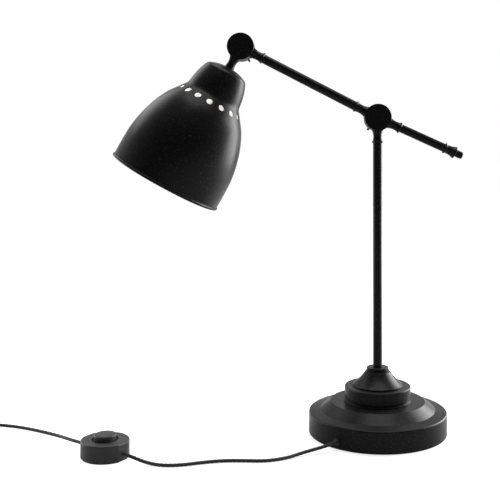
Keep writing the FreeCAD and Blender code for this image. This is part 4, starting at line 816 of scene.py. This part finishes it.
def coil_point(turns, widen=1.0):
    """A point of the put-away coil: the radius runs in and out a layer at a time, each on the last."""
    layer = min(int(turns / TURNS_A_LAYER), COIL_LAYERS - 1)
    share = turns / TURNS_A_LAYER - layer
    inward = share if layer % 2 == 0 else 1 - share
    radius = COIL_OUTER - COIL_PITCH * TURNS_A_LAYER * inward
    height = LYING + COIL_RISE * layer
    for change in range(1, COIL_LAYERS):
        ahead = turns - (change * TURNS_A_LAYER - CLIMB / 2)
        if 0 < ahead < CLIMB:
            rise = ahead / CLIMB
            height = LYING + COIL_RISE * (change - 1 + rise * rise * (3 - 2 * rise))
    centre = COIL_START - around(COIL_START_ANGLE, COIL_OUTER)
    return centre + around(COIL_START_ANGLE + math.tau * turns, radius * widen, height)


def coil_points():
    """Control points of the coil, set out a little so that the curve inside them has the right radius."""
    count = int(COIL_TURNS * POINTS_A_TURN)
    widen = 1 / math.cos(math.pi / POINTS_A_TURN)
    return [coil_point(COIL_TURNS * step / count, widen) for step in range(count + 1)]


NUDGE = 0.002
LEAD_IN = 0.014
LEAD_OUT = 0.015
PLUG_RUN = 0.038
PLUG_END = 0.012


def route_to_plug():
    """Control points from the switch through the coil to the plug."""
    start_way = (coil_point(NUDGE) - coil_point(0)).normalized()
    end_way = (coil_point(COIL_TURNS) - coil_point(COIL_TURNS - NUDGE)).normalized()
    lead_in = coil_point(0) - start_way * CORD_WIDTH
    coil_end = coil_point(COIL_TURNS) + end_way * CORD_WIDTH
    heading = around(PLUG_HEADING, 1.0)
    level_end = coil_end + end_way * LEAD_OUT
    level_start = PLUG_ROOT - heading * PLUG_RUN
    slope = level_start - level_end
    beside = Vector((slope.y, -slope.x, 0.0)).normalized()
    middle = level_end + slope * 0.47 + beside * 0.0013
    plug_end = PLUG_ROOT - heading * PLUG_END
    points = [lead_in - start_way * LEAD_IN, *coil_points(), level_end, middle, level_start, plug_end]
    return TO_COIL + [tuple(point) for point in points]


def spline_line(name, route):
    """Points along the smooth curve whose control points are the route."""
    data = bpy.data.curves.new(name, "CURVE")
    data.dimensions = "3D"
    data.resolution_u = 12
    spline = data.splines.new("NURBS")
    spline.points.add(len(route) - 1)
    for point, place in zip(spline.points, route):
        point.co = (*place, 1.0)
    spline.order_u = 3
    spline.use_endpoint_u = True
    holder = bpy.data.objects.new(name, data)
    mesh = bpy.data.meshes.new_from_object(holder)
    line = [vertex.co.copy() for vertex in mesh.vertices]
    bpy.data.objects.remove(holder)
    bpy.data.curves.remove(data)
    bpy.data.meshes.remove(mesh)
    return line


def evenly(line, step):
    """The same line with points a steady step apart."""
    travelled = [0.0]
    for before, after in zip(line, line[1:]):
        travelled.append(travelled[-1] + (after - before).length)
    count = max(2, round(travelled[-1] / step))
    even = []
    index = 0
    for number in range(count + 1):
        goal = travelled[-1] * number / count
        while index < len(line) - 2 and travelled[index + 1] < goal:
            index += 1
        run = travelled[index + 1] - travelled[index]
        share = 0.0 if run < 1e-12 else (goal - travelled[index]) / run
        even.append(line[index].lerp(line[index + 1], min(1.0, share)))
    return even, travelled[-1]


LOBES = 3
LOBE_DEPTH = 0.16
LOBE_POWER = 1.4


def twisted_tube(line, width, lay, sides=18):
    """A closed tube round a line; its section has lobes that turn as it goes, like a twisted cord."""
    shape = bmesh.new()
    strip = shape.loops.layers.uv.new("along")
    rings = []
    ahead = (line[1] - line[0]).normalized()
    side = ahead.orthogonal().normalized()
    gone = 0.0
    for index, place in enumerate(line):
        before = line[max(index - 1, 0)]
        after = line[min(index + 1, len(line) - 1)]
        way = (after - before).normalized()
        side = (side - way * side.dot(way)).normalized()
        across = way.cross(side)
        if index:
            gone += (place - line[index - 1]).length
        twist = math.tau * gone / lay
        ring = []
        for corner in range(sides):
            angle = math.tau * corner / sides
            swell = abs(math.cos(LOBES * (angle - twist) / 2))
            radius = width / 2 * (1 - LOBE_DEPTH * (1 - swell) ** LOBE_POWER)
            reach = side * (radius * math.cos(angle)) + across * (radius * math.sin(angle))
            ring.append(shape.verts.new(place + reach))
        rings.append((gone, ring))
    for (gone, ring), (next_gone, next_ring) in zip(rings, rings[1:]):
        for corner in range(sides):
            following = (corner + 1) % sides
            face = shape.faces.new((ring[corner], ring[following], next_ring[following], next_ring[corner]))
            marks = ((gone, corner), (gone, corner + 1), (next_gone, corner + 1), (next_gone, corner))
            for loop, (u, v) in zip(face.loops, marks):
                loop[strip].uv = (u / width, v / sides * math.pi)
    shape.faces.new(list(reversed(rings[0][1])))
    shape.faces.new(rings[-1][1])
    bmesh.ops.recalc_face_normals(shape, faces=shape.faces)
    soften(shape, 60.0)
    return shape


NEAR_STEP = 0.0009
FAR_STEP = 0.0010


def mains_cord():
    """The two cords: from the base to the switch, and from the switch through the coil to the plug."""
    near, near_length = evenly(spline_line("near_line", TO_SWITCH), NEAR_STEP)
    far, far_length = evenly(spline_line("far_line", route_to_plug()), FAR_STEP)
    first = into_scene("cord_base_to_switch", twisted_tube(near, CORD_WIDTH, CORD_LAY),
                       "stand", ["cord_black"], ["cord_to_switch"])
    second = into_scene("cord_switch_to_plug", twisted_tube(far, CORD_WIDTH, CORD_LAY, sides=14),
                        "stand", ["cord_black"], ["cord_to_coil", "cord_coil", "cord_to_plug"])


set_camera()
set_light()
lay_floor()
for finish, members in NODE_FINISH.items():
    for member in members:
        make = turned_piece if member in TURNED else smooth_piece
        make(member, finish)
bell_shade()
mains_cord()
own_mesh(bpy.data.objects["fine_switch_spring"])
